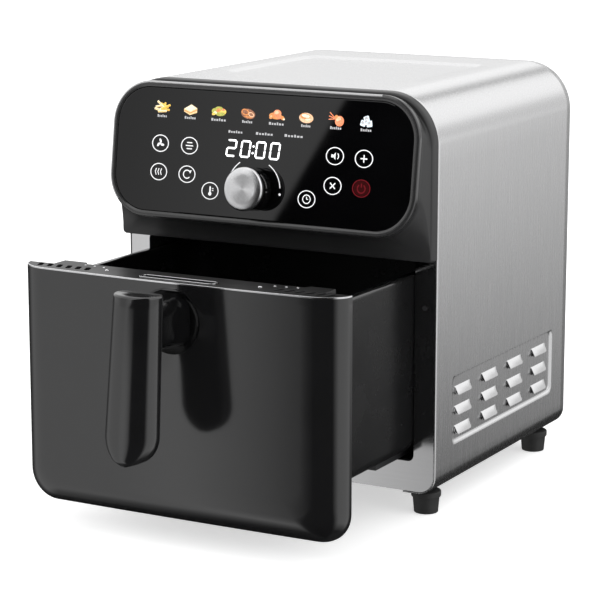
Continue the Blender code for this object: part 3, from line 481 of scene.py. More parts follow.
def wrap_path():
    """(x, z, normal x, normal z, face) round the section. face is which flat it lies on."""
    path = [(x, 0.0, 0.0, -1.0, "base") for x in run(BASE_OPENING_X, HALF - BOTTOM_RADIUS, 4)]

    def turn(x0, z0, radius, start, steps):
        corner = arc((x0, z0), radius, start, start + 90, steps)[1:]
        return [(x, z, (x - x0) / radius, (z - z0) / radius, "turn") for x, z in corner]

    path += turn(HALF - BOTTOM_RADIUS, BOTTOM_RADIUS, BOTTOM_RADIUS, -90, 14)
    low, high = PRESSING_Z
    edge = PRESSING_BEVEL
    heights = lines([low - 0.0005, high + 0.0005, low + edge + 0.0005, high - edge - 0.0005, high - 0.0011],
                    [high - 0.0006], run(low, low + edge, 5), run(high - edge, high, 5),
                    run(low + edge, low + 0.0075, 3), run(0.0825, high - edge, 3), run(0.02, low, 3),
                    run(high, HEIGHT - TOP_RADIUS, 12))
    path += [(HALF, z, 1.0, 0.0, "side") for z in heights]
    path += turn(HALF - TOP_RADIUS, HEIGHT - TOP_RADIUS, TOP_RADIUS, 0, 22)
    inner = TOP_PRESSING_X - TOP_PRESSING_CORNER
    across = lines(run(0.0, inner, 6), run(inner, TOP_PRESSING_X, 14))
    path += [(x, HEIGHT, 0.0, 1.0, "top") for x in reversed(across)]
    return path + [(-x, z, -nx, nz, face) for x, z, nx, nz, face in reversed(path[:-1])]


def wrap_depths():
    low, high = PRESSING_Y
    edge = PRESSING_BEVEL
    ends = run(low, low + edge, 5) + run(high - edge, high, 5)
    ends += [low + 0.005, low + 0.0075, high - 0.005, high - 0.0075, low - 0.0005, high + 0.0005]
    low, high = TOP_PRESSING_Y
    edge = TOP_PRESSING_CORNER
    top = run(low, low + edge, 8) + run(high - edge, high, 8) + [low - 0.0006, high + 0.0006]
    return lines([HEM + 0.002, 0.01, 0.018], ends, top, [0.24, 0.252, DEPTH])


def make_wrap():
    path, depths = wrap_path(), wrap_depths()
    rows = []
    for i in range(6):
        angle = radians(90.0 * i / 5)
        y, inset = HEM * (1.0 - sin(pi / 2 - angle)), HEM * (1.0 - sin(angle))
        rows.append([(x - nx * inset, y, z - nz * inset) for x, z, nx, nz, face in path])
    for y in depths:
        row = []
        for x, z, nx, nz, face in path:
            out = side_offset(y, z) if face == "side" else top_offset(x, y) if face == "top" else 0.0
            row.append((x + nx * out, y, z + nz * out))
        rows.append(row)
    mesh = loft(rows, ring_closed=False)
    roof = next(f for f in mesh.faces if f.calc_center_median().z > HEIGHT - 0.001)
    if roof.normal.z < 0:
        bmesh.ops.reverse_faces(mesh, faces=mesh.faces)
    skin = piece("wrap_skin", mesh, "steel", "housing", ["outer_wrap"], sharp=40.0)
    sheet = skin.modifiers.new("sheet", "SOLIDIFY")
    sheet.thickness = SHEET
    sheet.offset = -1.0


def make_hoods():
    """Louvres pressed outwards: each slopes out from its top edge and has a round rear end. Each is a closed
    solid whose underside faces take a dark finish as painted shade where the opening below would be.
    """
    base = HALF - PRESSING_DEPTH
    rings = []
    stations = [(-0.0004, 0.02), (0.0, 0.55), (0.0003, 0.92), (0.0008, 1.0)]
    stations += [(VENT_LENGTH - 0.0062 + 0.0062 * sin(radians(a)), cos(radians(a)))
                 for a in (0, 15, 30, 45, 58, 70, 80, 89)]
    for along, share in stations:
        out = HOOD_STAND * share
        low = -VENT_HALF_HEIGHT * (0.3 + 0.7 * share)
        top = VENT_HALF_HEIGHT
        rings.append((along, [(0.0, top), (out * 0.12 + 0.00005, top - 0.0006),
                              (out * 0.96 + 0.0001, low + 0.0005),
                              (out + 0.0001, low), (out * 0.78 + 0.00005, low - 0.0001),
                              (0.0001, top - 0.0022),
                              (0.00005, low - 0.0002), (-0.0003, low)]))
    for side, sign in (("right", 1.0), ("left", -1.0)):
        shells = []
        for y0 in VENT_Y:
            for z0 in VENT_Z:
                front = y0 - VENT_LENGTH / 2
                shell = loft([[(sign * (base + out), front + along, z0 + up) for out, up in ring]
                              for along, ring in rings])
                # Painted shade: the underside faces take the dark rubber finish, standing in for the shadowed
                # opening below each louvre.
                for number, face in enumerate(shell.faces):
                    face.material_index = 1 if number < (len(rings) - 1) * 8 and number % 8 in (4, 5) else 0
                shells.append(shell)
        piece(f"louvre_hoods_{side}", merged(shells), ("hood", "rubber"), "housing", sharp=38.0)


def casing_outline(inset, steps=16):
    high = HEIGHT - inset
    return rounded(HALF - inset, inset, high, BOTTOM_RADIUS - inset, TOP_RADIUS - inset, steps)


def make_front():
    opening = rounded(OPENING_HALF_WIDTH, *OPENING_Z, 0.005, 0.003, 6)
    bore = circle((SWITCH_X, SWITCH_Z), 0.0024, 20)
    mesh = plate(casing_outline(0.0016), [opening, bore], 0.0005, 0.0017, upright)
    soften(piece("front_flange", mesh, "flange", "housing", ["front_frame"]), 0.0004)


def make_base():
    outline = rounded(BASE_OPENING_X + 0.01, 0.004, DEPTH - 0.01, 0.006, 0.006, 6)
    slots = []
    for x in (-0.055, 0.0, 0.055):
        for i in range(9):
            y = 0.06 + 0.0165 * i
            slots.append(moved(bar_outline(0.019, 0.0022, 0.0021, 5), x, y))
    mesh = plate(outline, slots, 0.0011, 0.0036)
    soften(piece("base_pan", mesh, "satin", "housing", ["base_plate"]), 0.0005)


def make_feet():
    top = FOOT_HEIGHT
    profile = [(0.0026, 0.004), (0.0046, 0.004), (0.005, 0.0006), (0.0056, 0.0), (0.0086, 0.0),
               (0.0094, 0.0003),
               (0.0097, 0.001), (0.0099, 0.004), (0.0107, 0.0125), (0.0109, 0.0129), (0.0117, 0.0133),
               (0.0119, 0.014), (0.0119, top - 0.0008), (0.0115, top - 0.0002)]
    for row, y in zip(("front", "rear"), FOOT_Y):
        for side, sign in (("left", -1), ("right", 1)):
            mesh = turned(profile, 40, centre=(sign * FOOT_X, y, -FOOT_HEIGHT))
            piece(f"foot_pad_{row}_{side}", mesh, "rubber", "housing", [f"foot_{row}_{side}"])


def exhaust_inner(radius, steps):
    low, high = EXHAUST_Z
    return rounded(EXHAUST_HALF_WIDTH - 0.004, low + 0.004, high - 0.004, radius, radius, steps)


def make_rear():
    low_y, high_y = REAR_COVER_Y
    holes = [exhaust_inner(0.008, 6)] + [circle(spot, 0.002, 16) for spot in COVER_SCREWS]
    holes.append(circle((GLAND_X, GLAND_Z), 0.0083, 24))
    for i in range(11):
        for x in (-0.036, 0.036):
            holes.append(moved(bar_outline(0.028, 0.0016, 0.0015), x, 0.07 + 0.0085 * i))
    mesh = plate(casing_outline(0.0011, 12), holes, low_y, high_y, upright)
    soften(piece("rear_panel", mesh, "satin", "housing", ["rear_cover"]), 0.0006)
    for number, (x, z) in enumerate(COVER_SCREWS, 1):
        shapes = [screw(x, z, high_y + 0.0003)]
        for turn in (0.0, 90.0):
            bar = moved(bar_outline(0.0021, 0.0004, 0.0003, 2), x, z, turn)
            shapes.append(loft([upright(bar, high_y + 0.0024), upright(bar, high_y + 0.00255)]))
        mesh = merged(shapes)
        for face in mesh.faces:
            face.material_index = int(face.calc_center_median().y > high_y + 0.00236)
        name = f"cover_screw_{number}"
        piece(f"rear_{name}", mesh, ("bright", "satin"), "housing", [name])


def make_exhaust():
    back, front = EXHAUST_BACK, REAR_COVER_Y[1] + 0.0003
    outline, inner = rounded(EXHAUST_HALF_WIDTH, *EXHAUST_Z, 0.01, 0.01, 10), exhaust_inner(0.006, 10)
    slots, vanes = [], []
    for row in range(8):
        z = sum(EXHAUST_Z) / 2 + (row - 3.5) * 0.0105
        slots += [moved(bar_outline(0.02, 0.0028, 0.0026, 5), x, z) for x in (-0.046, 0.0, 0.046)]
        section = [(back - 0.0032, z - 0.0036), (back - 0.003, z - 0.0028), (back - 0.0125, z + 0.0038),
                   (back - 0.013, z + 0.003)]
        vanes.append(loft([[(x, y, h) for y, h in section] for x in (-0.069, 0.069)]))
    face = plate(outline, slots, back - 0.003, back, upright)
    walls = loft([upright(outline, front), upright(outline, back - 0.0031), upright(inner, back - 0.0031),
                  upright(inner, front)], closed=True)
    mesh = merged([face, walls] + vanes)
    grille = piece("exhaust_box", mesh, "satin", "housing", ["exhaust_grille"])
    soften(grille, 0.0008, angle=50.0)


def make_gland():
    back = REAR_COVER_Y[1]
    profile = [(0.008, -0.004), (0.008, 0.0003), (0.012, 0.0003), (0.0121, 0.0022)]
    for i in range(4):
        y, radius = 0.003 + 0.0019 * i, 0.011 - 0.0008 * i
        profile += [(radius, y), (radius, y + 0.001), (radius - 0.0009, y + 0.0011),
                    (radius - 0.001, y + 0.0018)]
    profile += [(0.0072, 0.0104), (0.005, 0.0106), (0.0046, 0.01), (0.0046, -0.004)]
    mesh = turned(profile, 40, True, "Y", (GLAND_X, back, GLAND_Z))
    piece("cord_entry_gland", mesh, "rubber", "housing", ["cord_gland"])


# ---- fascia, rim, glass and its print ----


def on_panel(outline, depth):
    c, s = cos(PANEL_TILT), sin(PANEL_TILT)
    x0, y0, z0 = PANEL_CENTRE
    return [(x0 + x, y0 + up * s + depth * c, z0 + up * c - depth * s) for x, up in outline]


def bezier(points, t):
    """A point on the cubic curve of four control points."""
    a, b, c, d = (Vector(p) for p in points)
    s = 1.0 - t
    return a * s**3 + b * 3 * s * s * t + c * 3 * s * t * t + d * t**3


def make_fascia():
    steps = 18

    def body_ring(y, inset, low, low_radius, top_inset):
        return upright(rounded(HALF - inset, low, HEIGHT - top_inset, low_radius, TOP_RADIUS, steps), y)

    rings = [body_ring(y, 0.0, FASCIA_BOTTOM, 0.002, 0.0) for y in (-0.0003, -0.0055)]
    for i in range(1, 7):
        angle = radians(15.0 * i)
        inset = 0.0045 * (1.0 - cos(angle))
        y = -0.0055 - 0.0052 * sin(angle)
        rings.append(body_ring(y, inset * 0.2, FASCIA_BOTTOM + inset * 0.25, 0.002 + inset * 0.5,
                               inset * 0.4))
    near = body_ring(FASCIA_LIP_Y - 0.0004, 0.0011, 0.199, 0.014, 0.0052)
    root = on_panel(rounded(0.1379, RIM_LOW + 0.004, RIM_HIGH - 0.006, 0.03, 0.034, steps), 0.012)
    pod, face = (on_panel(rim_outline(0.0, steps), depth) for depth in (0.0062, 0.0045))
    bases = list(zip(rings[-1], near, root, pod))
    rings += [[tuple(bezier(four, i / 12)) for four in bases] for i in range(1, 13)]
    pocket = rounded(0.124, RIM_LOW + 0.012, RIM_HIGH - 0.01, 0.024, 0.024, steps)
    well = rounded(0.118, 0.224, 0.302, 0.02, 0.02, steps)
    rings += [face, on_panel(pocket, 0.0045), upright(well, -0.0003)]
    piece("fascia_shell", loft(rings, closed=True), "fascia", "housing", ["fascia_housing"], sharp=50.0)


def rim_outline(inset, steps=24):
    radius = RIM_RADIUS - inset
    return rounded(RIM_HALF_WIDTH - inset, RIM_LOW + inset, RIM_HIGH - inset, radius, radius, steps)


def make_panel():
    turns = [radians(18.0 * i) for i in range(1, 6)]
    steps = [(0.0, 0.0042), (0.0, 0.0016)] + [(0.0016 * (1 - cos(a)), 0.0016 * (1 - sin(a))) for a in turns]
    steps += [(0.003, 0.0), (RIM_BAND - 0.0009, 0.0001), (RIM_BAND - 0.0003, 0.0004), (RIM_BAND, 0.001)]
    steps.append((RIM_BAND, 0.0042))
    rings = [upright(rim_outline(inset), depth) for inset, depth in steps]
    mesh = loft(rings, closed=True)
    # Painted highlight: the outer edge faces on the left side and along most of the top take the lighter
    # metal finish, standing in for the bright line that light puts there; the right and bottom keep the rim's
    # own grey.
    outside = 6 * len(rings[0])
    for number, face in enumerate(mesh.faces):
        middle = face.calc_center_median()
        face.material_index = int(number < outside and middle.x < 0.06 and middle.z > RIM_LOW * 0.8)
    piece("rim_band", mesh, ("rim", "painted_rim_highlight"), "housing", ["panel_rim"], PANEL)
    steps = [(0.0, 0.0026), (0.0, GLASS_FRONT + 0.0004), (0.0002, GLASS_FRONT + 0.0001),
             (0.0006, GLASS_FRONT)]
    pane = loft([upright(rim_outline(RIM_BAND + 0.0003 + inset), depth) for inset, depth in steps])
    piece("glass_pane", pane, "glass", "housing", ["touch_glass"], PANEL, sharp=5.0)


class Print:
    """Flat marks just over the glass, in the panel's frame. Sizes are in millimetres on the glass."""

    def __init__(self):
        self.mesh = bmesh.new()
        self.index = 0
        self.layer = 0
        self.scale = 1.0
        self.about = (0.0, 0.0)

    def face(self, outline):
        depth = PRINT_DEPTH - 0.00002 * self.layer
        u, v = self.about
        points = [(u + (x - u) * self.scale, v + (z - v) * self.scale) for x, z in outline]
        verts = [self.mesh.verts.new((x / 1000, depth, z / 1000)) for x, z in points]
        made = self.mesh.faces.new(verts)
        made.material_index = self.index
        made.normal_update()
        if made.normal.y > 0:
            made.normal_flip()

    def oval(self, x, z, across, high, turn=0.0, steps=20):
        ring = [(across / 2 * u, high / 2 * v) for u, v in circle((0.0, 0.0), 1.0, steps)]
        self.face(moved(ring, x, z, turn))

    def bar(self, x, z, length, width, turn=0.0, radius=None):
        """A bar about (x, z), with ends round unless a corner radius is given."""
        half = width / 2
        self.face(moved(bar_outline(length / 2, half, half * 0.98 if radius is None else radius), x, z, turn))

    def band(self, x, z, radius, width, start=0.0, end=360.0, steps=40, tall=1.0):
        """A ring, or part of one, made of short faces. tall is its height over its width."""
        inner, outer = ([(u, z + (v - z) * tall) for u,
                         v in arc((x, z), radius + side * width / 2, start, end, steps)]
                        for side in (-1, 1))
        for i in range(steps):
            self.face([inner[i], outer[i], outer[i + 1], inner[i + 1]])


def up_panel(z_casing):
    """Distance up the face, in millimetres, of a height in the casing's frame."""
    return (z_casing - PANEL_CENTRE[2] * 1000) / cos(PANEL_TILT)


SEGMENTS = {"0": "abcdef", "2": "abdeg"}


def digit(marks, text, x, z, width, height, slant=0.1):
    """A seven-segment figure about (x, z)."""
    half, quarter, stroke = width / 2, height / 4, 1.45
    spots = {
        "a": (0.0, height / 2, 0), "g": (0.0, 0.0, 0), "d": (0.0, -height / 2, 0),
        "b": (half, quarter, 90), "c": (half, -quarter, 90), "f": (-half, quarter, 90),
        "e": (-half, -quarter, 90),
    }
    for name in SEGMENTS[text]:
        u, v, turn = spots[name]
        length = (height / 2 if turn else width) - 0.55
        marks.bar(x + u + v * slant, z + v, length, stroke, turn - (degrees(slant) if turn else 0), 0.6)


def words(marks, x, z, length, height=1.7):
    """Small blocks in place of a printed word."""
    widths = (0.9, 0.7, 0.8, 0.6, 0.9, 0.8)
    total = sum(widths) + 0.35 * (len(widths) - 1)
    at = x - length / 2
    for number, width in enumerate(widths):
        step = width * length / total
        tall = height if number % 3 == 0 else height * 0.72
        marks.bar(at + step / 2, z - (height - tall) / 2, step, tall, 0.0, 0.15)
        at += step + 0.35 * length / total


GLYPHS = {
    "fan": [("oval", 2.1 * cos(radians(a)), 2.1 * sin(radians(a)), 3.6, 1.9, a + 25)
            for a in (90, 210, 330)] + [("oval", 0, 0, 1.3, 1.3)],
    "oven": [("bar", 0, v, 7.0 - abs(v) * 0.8, 0.85) for v in (-2.4, 0.0, 2.4)],
    "warm": [("bar", u - 0.35, v, 3.0, 0.8, turn) for u in (-2.4, 0.0, 2.4) for v,
             turn in ((1.4, 70), (-1.2, 110))],
    "repeat": [("band", 0, 0, 3.2, 0.9, 40, 320, 24), ("face", (1.2, 2.9), (4.2, 3.3), (3.0, 0.6))],
    "heat": [("bar", 0, 1.0, 5.4, 1.3, 90), ("oval", 0, -2.3, 3.0, 3.0), ("bar", 2.4, 0.4, 1.6, 0.6),
             ("bar", 2.4, 2.0, 1.6, 0.6)],
    "sound": [("bar", -2.3, 0, 1.6, 2.4, 0.0, 0.2), ("face", (-2.0, 0), (0.6, 2.9), (0.6, -2.9)),
              ("band", 0.2, 0, 3.0, 0.8, -45, 45, 10)],
    "plus": [("bar", 0, 0, 6.0, 1.0, turn) for turn in (0, 90)],
    "cross": [("bar", 0, 0, 6.6, 1.0, turn) for turn in (45, -45)],
    "clock": [("band", 0, 0, 3.3, 0.8, 0, 360, 24), ("bar", 0, 0.9, 2.2, 0.7, 90), ("bar", 0.7, 0, 1.8, 0.7)],
    "power": [("band", 0, -0.2, 3.3, 1.0, 125, 415, 24), ("bar", 0, 2.2, 3.4, 1.0, 90)],
}


def draw(marks, shapes, x, z):
    """Shapes given about (x, z): a method of Print, then its arguments, or the corners of a face."""
    kinds = {"oval": marks.oval, "bar": marks.bar, "band": marks.band}
    for kind, *rest in shapes:
        if kind == "face":
            marks.face([(x + u, z + v) for u, v in rest])
        else:
            u, v, *sizes = rest
            kinds[kind](x + u, z + v, *sizes)


BUTTONS = (
    ("fan", -91.0, 267.0), ("oven", -64.0, 266.8), ("warm", -91.0, 244.6), ("repeat", -64.7, 244.4),
    ("heat", -42.6, 233.0), ("sound", 66.0, 267.4), ("plus", 91.0, 267.0), ("cross", 65.7, 244.8),
    ("clock", 43.9, 233.0), ("power", 90.4, 244.6),
)


def make_print():
    marks = Print()
    for kind, x, z in BUTTONS:
        if kind == "power":
            marks.index, marks.layer = 3, -1
            marks.oval(x, up_panel(z), 13.2, 11.6, steps=40)
        marks.index, marks.layer = (1 if kind == "power" else 0), 0
        marks.band(x, up_panel(z), 7.4, 0.85, steps=56, tall=0.88)
        draw(marks, GLYPHS[kind], x, up_panel(z))
    marks.index = 2
    for x, length in zip((-23.0, 3.0, 29.0), (12.5, 15.0, 16.0)):
        words(marks, x, up_panel(280.2), length, 2.0)
    marks.index = 0
    knob_z = up_panel(237.3)
    marks.band(KNOB_X * 1000, knob_z, 22.6, 0.8, 6, 60, 26)
    marks.band(KNOB_X * 1000, knob_z, 24.6, 0.8, 126, 158, 16)
    marks.oval(KNOB_X * 1000 + 22.6, knob_z - 2.6, 2.0, 2.0)
    piece("glass_print", marks.mesh, ("print", "power", "faint", "ember"), "housing", place=PANEL)

    shown = Print()
    for text, x in zip("2000", (-25.6, -12.9, 0.6, 13.3)):
        digit(shown, text, x, up_panel(267.5), 7.6, 12.2)
    for z in (264.8, 270.0):
        shown.oval(-6.1 + (z - 267.5) * 0.1, up_panel(z), 1.7, 1.7)
    piece("display_figures", shown.mesh, "digits", "housing", place=PANEL)


FOOD_OVALS = (
    (-39.0, (("olive", -3.5, 0.5, 8.5, 5.5, 10), ("gold", 3.5, 0.2, 8.5, 5.8, -8), ("olive", 0, 2.6, 8, 4, 0),
             ("rust", -0.5, 1.2, 5, 3.4, 20), ("olive", 1.8, -2.2, 9.5, 3.6, 4),
             ("cream", -3.8, -1.2, 3.6, 2.4, 0),
             ("coral", 4.6, 1.8, 3.0, 2.2, 0), ("gold", -5.2, -2.4, 4.2, 2.4, 12))),
    (-13.0, (("brown", 0.5, -0.3, 15, 9.0, -10), ("rust", -2.5, 1.2, 8.5, 5.6, -16),
             ("brown", -2.7, 1.3, 6, 3.6, -16), ("peach", 3.8, -0.8, 6.5, 4.2, -22),
             ("brown", 3.8, -0.8, 4.4, 2.6, -22), ("rust", 1, -3.2, 9, 1.4, -8))),
    (13.0, (("rust", -1.2, -0.5, 13.5, 6.0, -4), ("coral", 0.5, 1.8, 8.2, 7.0, 0),
            ("peach", -0.4, 2.8, 4.4, 3.2, 10),
            ("rust", 5.8, -1.8, 5.2, 3.4, -30), ("cream", 7.6, -3.0, 2.0, 1.6, 0),
            ("rust", -5.6, -1.6, 4.6, 3.4, 30),
            ("peach", -5.6, -1.0, 2.4, 1.6, 30), ("coral", 2.2, -1.6, 5.2, 3.0, 0))),
    (39.0, (("peach", 0, -0.4, 14.5, 9.2, -4), ("rust", -1.0, 1.0, 10.5, 5.2, -8),
            ("cream", -0.6, 1.4, 8.6, 3.0, -8),
            ("peach", 2.2, -2.0, 8.0, 3.4, 6), ("cream", 1.8, -1.8, 5.4, 1.2, 6))),
    (65.5, (("coral", 2.8, -1.2, 9.0, 9.4, 0), ("peach", 1.6, 0.6, 5.0, 4.6, 30),
            ("coral", 3.6, -2.6, 5.4, 4.6, 10),
            ("rust", -0.8, 2.4, 4.2, 3.0, 40))),
)


def make_pictures():
    names = (*FOOD, "faint")
    marks = Print()
    marks.scale = 0.86
    z = up_panel(294.9)

    def show(x, shapes):
        marks.about = (x, z)
        for name, layer, *shape in shapes:
            marks.index, marks.layer = names.index(name), layer
            draw(marks, [shape], x, z)

    sticks = ((-3, 1.5, 12), (2, 2.4, -20), (-1, -0.6, 30), (3, -1.2, -8), (-4, -2.0, -15), (1, 0.8, 62),
              (-2, 3.0, -40), (4, 1.0, 25), (0, -3.2, 5))
    fries = []
    for n, (u, v, turn) in enumerate(sticks):
        fries.append(("gold" if n % 2 else "cream", n, "bar", u, v, 9.5, 2.0, turn, 0.5))
        fries.append(("gold", n, "bar", u, v - 0.35, 9.0, 1.2, turn, 0.4))
    show(-91.0, fries)
    show(-65.0, (("tan", 0, "face", (-7, 0.5), (0.5, 4.8), (7, 1.6), (7, -2.6), (-0.5, -5), (-7, -2)),
                 ("cream", 1, "face", (-6.6, 0.8), (0.5, 4.6), (6.6, 1.6), (-0.4, -1.6)),
                 ("rust", 2, "face", (-6.8, -0.3), (-0.4, -2.6), (6.8, 0.6), (6.8, -0.5), (-0.4, -3.6),
                  (-6.8, -1.2))))
    for x, ovals in FOOD_OVALS:
        show(x, [(name, n, "oval", *sizes) for n, (name, *sizes) in enumerate(ovals)])
    show(65.5, [("coral", 5, "bar", -4.6, v, 7.2, 0.9, turn, 0.4) for v,
                turn in ((3.8, -42), (1.8, -18), (0.2, 6))])
    for n, (u, v, size, turn) in enumerate(((0, 2.2, 5.4, 20), (-3.2, -1.6, 5.2, -14), (3.0, -1.8, 5.6, 10),
                                            (0, -0.4, 4.2, 40))):
        show(91.0, (("ice", n, "bar", u, v, size, size, turn, 0.9),
                    ("faint", n + 1, "bar", u - 0.5, v + 0.7, size * 0.55, size * 0.45, turn, 0.4)))
    marks.scale, marks.index, marks.layer = 1.0, names.index("faint"), 0
    for x, length in zip((-91, -65, -39, -13, 13, 39, 65, 91), (8.5, 10, 13, 9, 13, 8, 9.5, 9)):
        words(marks, x, up_panel(288.6), length, 2.1)
    piece("food_pictures", marks.mesh, names, "housing", place=PANEL)


def make_knob():
    radius, face = KNOB_RADIUS, -KNOB_HEIGHT
    skirt = [(radius - 0.001, -0.0016), (radius - 0.0004, -0.002), (radius - 0.0002, -0.0032),
             (radius - 0.0009, face + 0.0052), (radius - 0.0016, face + 0.0046),
             (radius - 0.0017, face + 0.0038),
             (0.0033, face + 0.0038), (0.0033, -0.0016)]
    piece("knob_collar", turned(skirt, 72, True, "Y"), "gloss", "knob", ["knob_skirt"], KNOB)
    cap = [(radius - 0.0016, face + 0.0037), (radius - 0.0004, face + 0.0036), (radius, face + 0.0031),
           (radius, face + 0.0015), (radius - 0.0001, face + 0.0013), (radius - 0.0011, face + 0.0001),
           (radius - 0.0013, face), (radius * 0.6, face - 0.00002), (radius * 0.2, face - 0.00003)]
    piece("knob_face", turned(cap, 96, axis="Y"), "knob_face", "knob", ["knob_cap"], KNOB)


# ---- drawer ----


def bow(x):
    """How far the drawer's front falls back at x."""
    return DRAWER_BOW * (x / 0.107) ** 2


def drawer_ring(angle):
    """The drawer front's outline at an angle round its rolled edge: 0 on the flat face, 90 at the back."""
    bend = 1.0 - sin(angle)
    low = DRAWER_LOW + 0.0205 * bend
    high = DRAWER_HIGH - LEDGE_THICKNESS - 0.0003
    outline = rounded(HALF - DRAWER_TURN * bend, low, high - 0.0006 * bend, 0.024 - 0.008 * bend, 0.002, 14,
                      22)
    return [(x, drawer_y(x, angle), z) for x, z in outline]


def drawer_y(x, angle):
    back = 1.0 - cos(angle)
    return DRAWER_FRONT_Y + bow(x) * (1.0 - back) + (DRAWER_BACK_Y - DRAWER_FRONT_Y) * back


def drawer_plan(inset):
    """The front's edge seen from above, from the left corner round to the right one."""
    half = []
    for i in range(15):
        angle = pi / 2 * (14 - i) / 14
        reach = HALF - DRAWER_TURN * (1.0 - sin(angle)) - inset * sin(angle)
        half.append((-reach, drawer_y(reach, angle) + inset * cos(angle)))
    half += [(x, DRAWER_FRONT_Y + bow(x) + inset) for x in run(half[-1][0], 0.0, 10)[1:]]
    return half + [(-x, y) for x, y in reversed(half[:-1])]


def edge_band(low, high, inset, width):
    """A thin band that follows the drawer front's top edge."""
    outer, inner = drawer_plan(inset), drawer_plan(inset + width)
    outline = outer + inner[::-1]
    return loft([level(outline, low), level(outline, high)])


def make_drawer_front():
    face = drawer_ring(0.0)
    dish = []
    for i in range(9):
        reach = DISH_RADIUS * (0.06 + 0.94 * i / 8)
        dish.append((reach, DISH_DEPTH * (1.0 - (reach / DISH_RADIUS) ** 2) ** 0.62 if i < 8 else 0.0004))
    dish += [(DISH_RADIUS + 0.0004, -0.0003), (DISH_RADIUS + 0.0009, -0.0003), (DISH_RADIUS + 0.0016, 0.0)]
    shell = []
    for reach, bowl in dish:
        spots = [Vector((x, z - DISH_Z)).normalized() * reach for x, y, z in face]
        shell.append([(away.x, DRAWER_FRONT_Y + bow(away.x) + bowl, DISH_Z + away.y) for away in spots])
    around = shell[-1]
    for share in (0.15, 0.3, 0.45, 0.6, 0.75, 0.9):
        spots = [(u + (x - u) * share, w + (z - w) * share) for (x, y, z), (u, v, w) in zip(face, around)]
        shell.append([(x, DRAWER_FRONT_Y + bow(x), z) for x, z in spots])
    shell += [drawer_ring(pi / 2 * i / 14) for i in range(15)]
    wall = 0.003
    high = DRAWER_HIGH - LEDGE_THICKNESS - 0.0003 - wall
    for half, low, radius, y in ((HALF - wall, DRAWER_LOW + wall, 0.021, DRAWER_BACK_Y),
                                 (HALF - wall - 0.004, DRAWER_LOW + wall + 0.004, 0.019,
                                  DRAWER_BACK_Y - 0.008),
                                 (0.114, DRAWER_LOW + 0.024, 0.02, -0.149)):
        shell.append(upright(rounded(half, low, high, radius, 0.002, 14, 22), y))
    piece("drawer_shell", loft(shell), "gloss", "drawer", ["drawer_front"], sharp=45.0)
    lip = edge_band(DRAWER_HIGH - 0.0062, DRAWER_HIGH - TRIM_HEIGHT, -0.00005, 0.003)
    piece("drawer_lip", lip, "gloss", "drawer", sharp=50.0)


def make_ledge():
    outline = drawer_plan(TRIM_WIDTH + 0.0001)
    rear = TONGUE_Y + 0.005
    right = [(outline[-1][0], DRAWER_BACK_Y), (TONGUE_HALF_WIDTH, DRAWER_BACK_Y), (TONGUE_HALF_WIDTH, rear)]
    right += [(0.098, rear), (0.095, TONGUE_Y)]
    outline = outline + right + [(-x, y) for x, y in reversed(right)]
    holes = []
    for sign in (-1, 1):
        for i in range(6):
            x = sign * (0.083 + 0.0086 * i)
            holes.append([(x + v + sign * u * 0.35, -0.1466 + u) for u,
                          v in bar_outline(0.005, 0.002, 0.0017)])

    def slot(inset, radius):
        return rounded(SLOT_HALF_LENGTH - inset, SLOT_Y[0] + inset, SLOT_Y[1] - inset, radius, radius, 8)

    low, high = DRAWER_HIGH - LEDGE_THICKNESS, DRAWER_HIGH
    mesh = plate(outline, holes + [slot(-0.0003, 0.004)], low, high)
    soften(piece("ledge_top", mesh, "ledge", "drawer", ["drawer_ledge"]), 0.0005)
    mesh = edge_band(high - TRIM_HEIGHT, high + 0.0001, 0.0, TRIM_WIDTH)
    soften(piece("ledge_trim", mesh, "bright", "drawer"), 0.0003, angle=50.0)
    half, front, back = SLOT_HALF_LENGTH + 0.001, SLOT_Y[0] - 0.001, SLOT_Y[1] + 0.001
    base = [(-half, front), (half, front), (half, back), (-half, back)]
    piece("slot_floor", loft([level(base, low - 0.0001), level(base, low + 0.0009)]), "satin", "drawer")
    outer, inner = slot(0.0, 0.0037), slot(0.0016, 0.0023)
    mesh = loft([level(outer, high - 0.0017), level(outer, high + 0.0007), level(inner, high + 0.0007),
                 level(inner, high - 0.0017)], closed=True)
    soften(piece("slot_edge", mesh, "bright", "drawer", ["slot_trim"]), 0.0003)
    studs = []
    for x, y, radius in ((0.0665, -0.145, 0.0017), (0.0745, -0.137, 0.0011), (0.0835, -0.136, 0.001),
                         (0.0925, -0.135, 0.001)):
        dome = [(radius, high - 0.0008), (radius, high + 0.0001)]
        dome += [(radius * wide, high + radius * tall) for wide,
                 tall in ((0.86, 0.26), (0.5, 0.44), (0.12, 0.5))]
        studs += [turned(dome, 20, centre=(sign * x, y, 0.0)) for sign in (-1, 1)]
    piece("ledge_studs", merged(studs), "bright", "drawer", sharp=60.0)


def handle_at(z):
    """(half width, front y, back y) of the handle at height z."""
    share = (z - HANDLE_Z[0]) / (HANDLE_Z[1] - HANDLE_Z[0])
    pairs = (HANDLE_HALF_WIDTH, HANDLE_FRONT_Y, HANDLE_BACK_Y)
    return [low + (high - low) * share for low, high in pairs]


def handle_half(z):
    """The half width at height z, with the round lower end taken off."""
    half = handle_at(z)[0]
    above = z - HANDLE_Z[0]
    if above >= half:
        return half
    return max(sqrt(max(half * half - (half - above) ** 2, 0.0)), 0.0035)


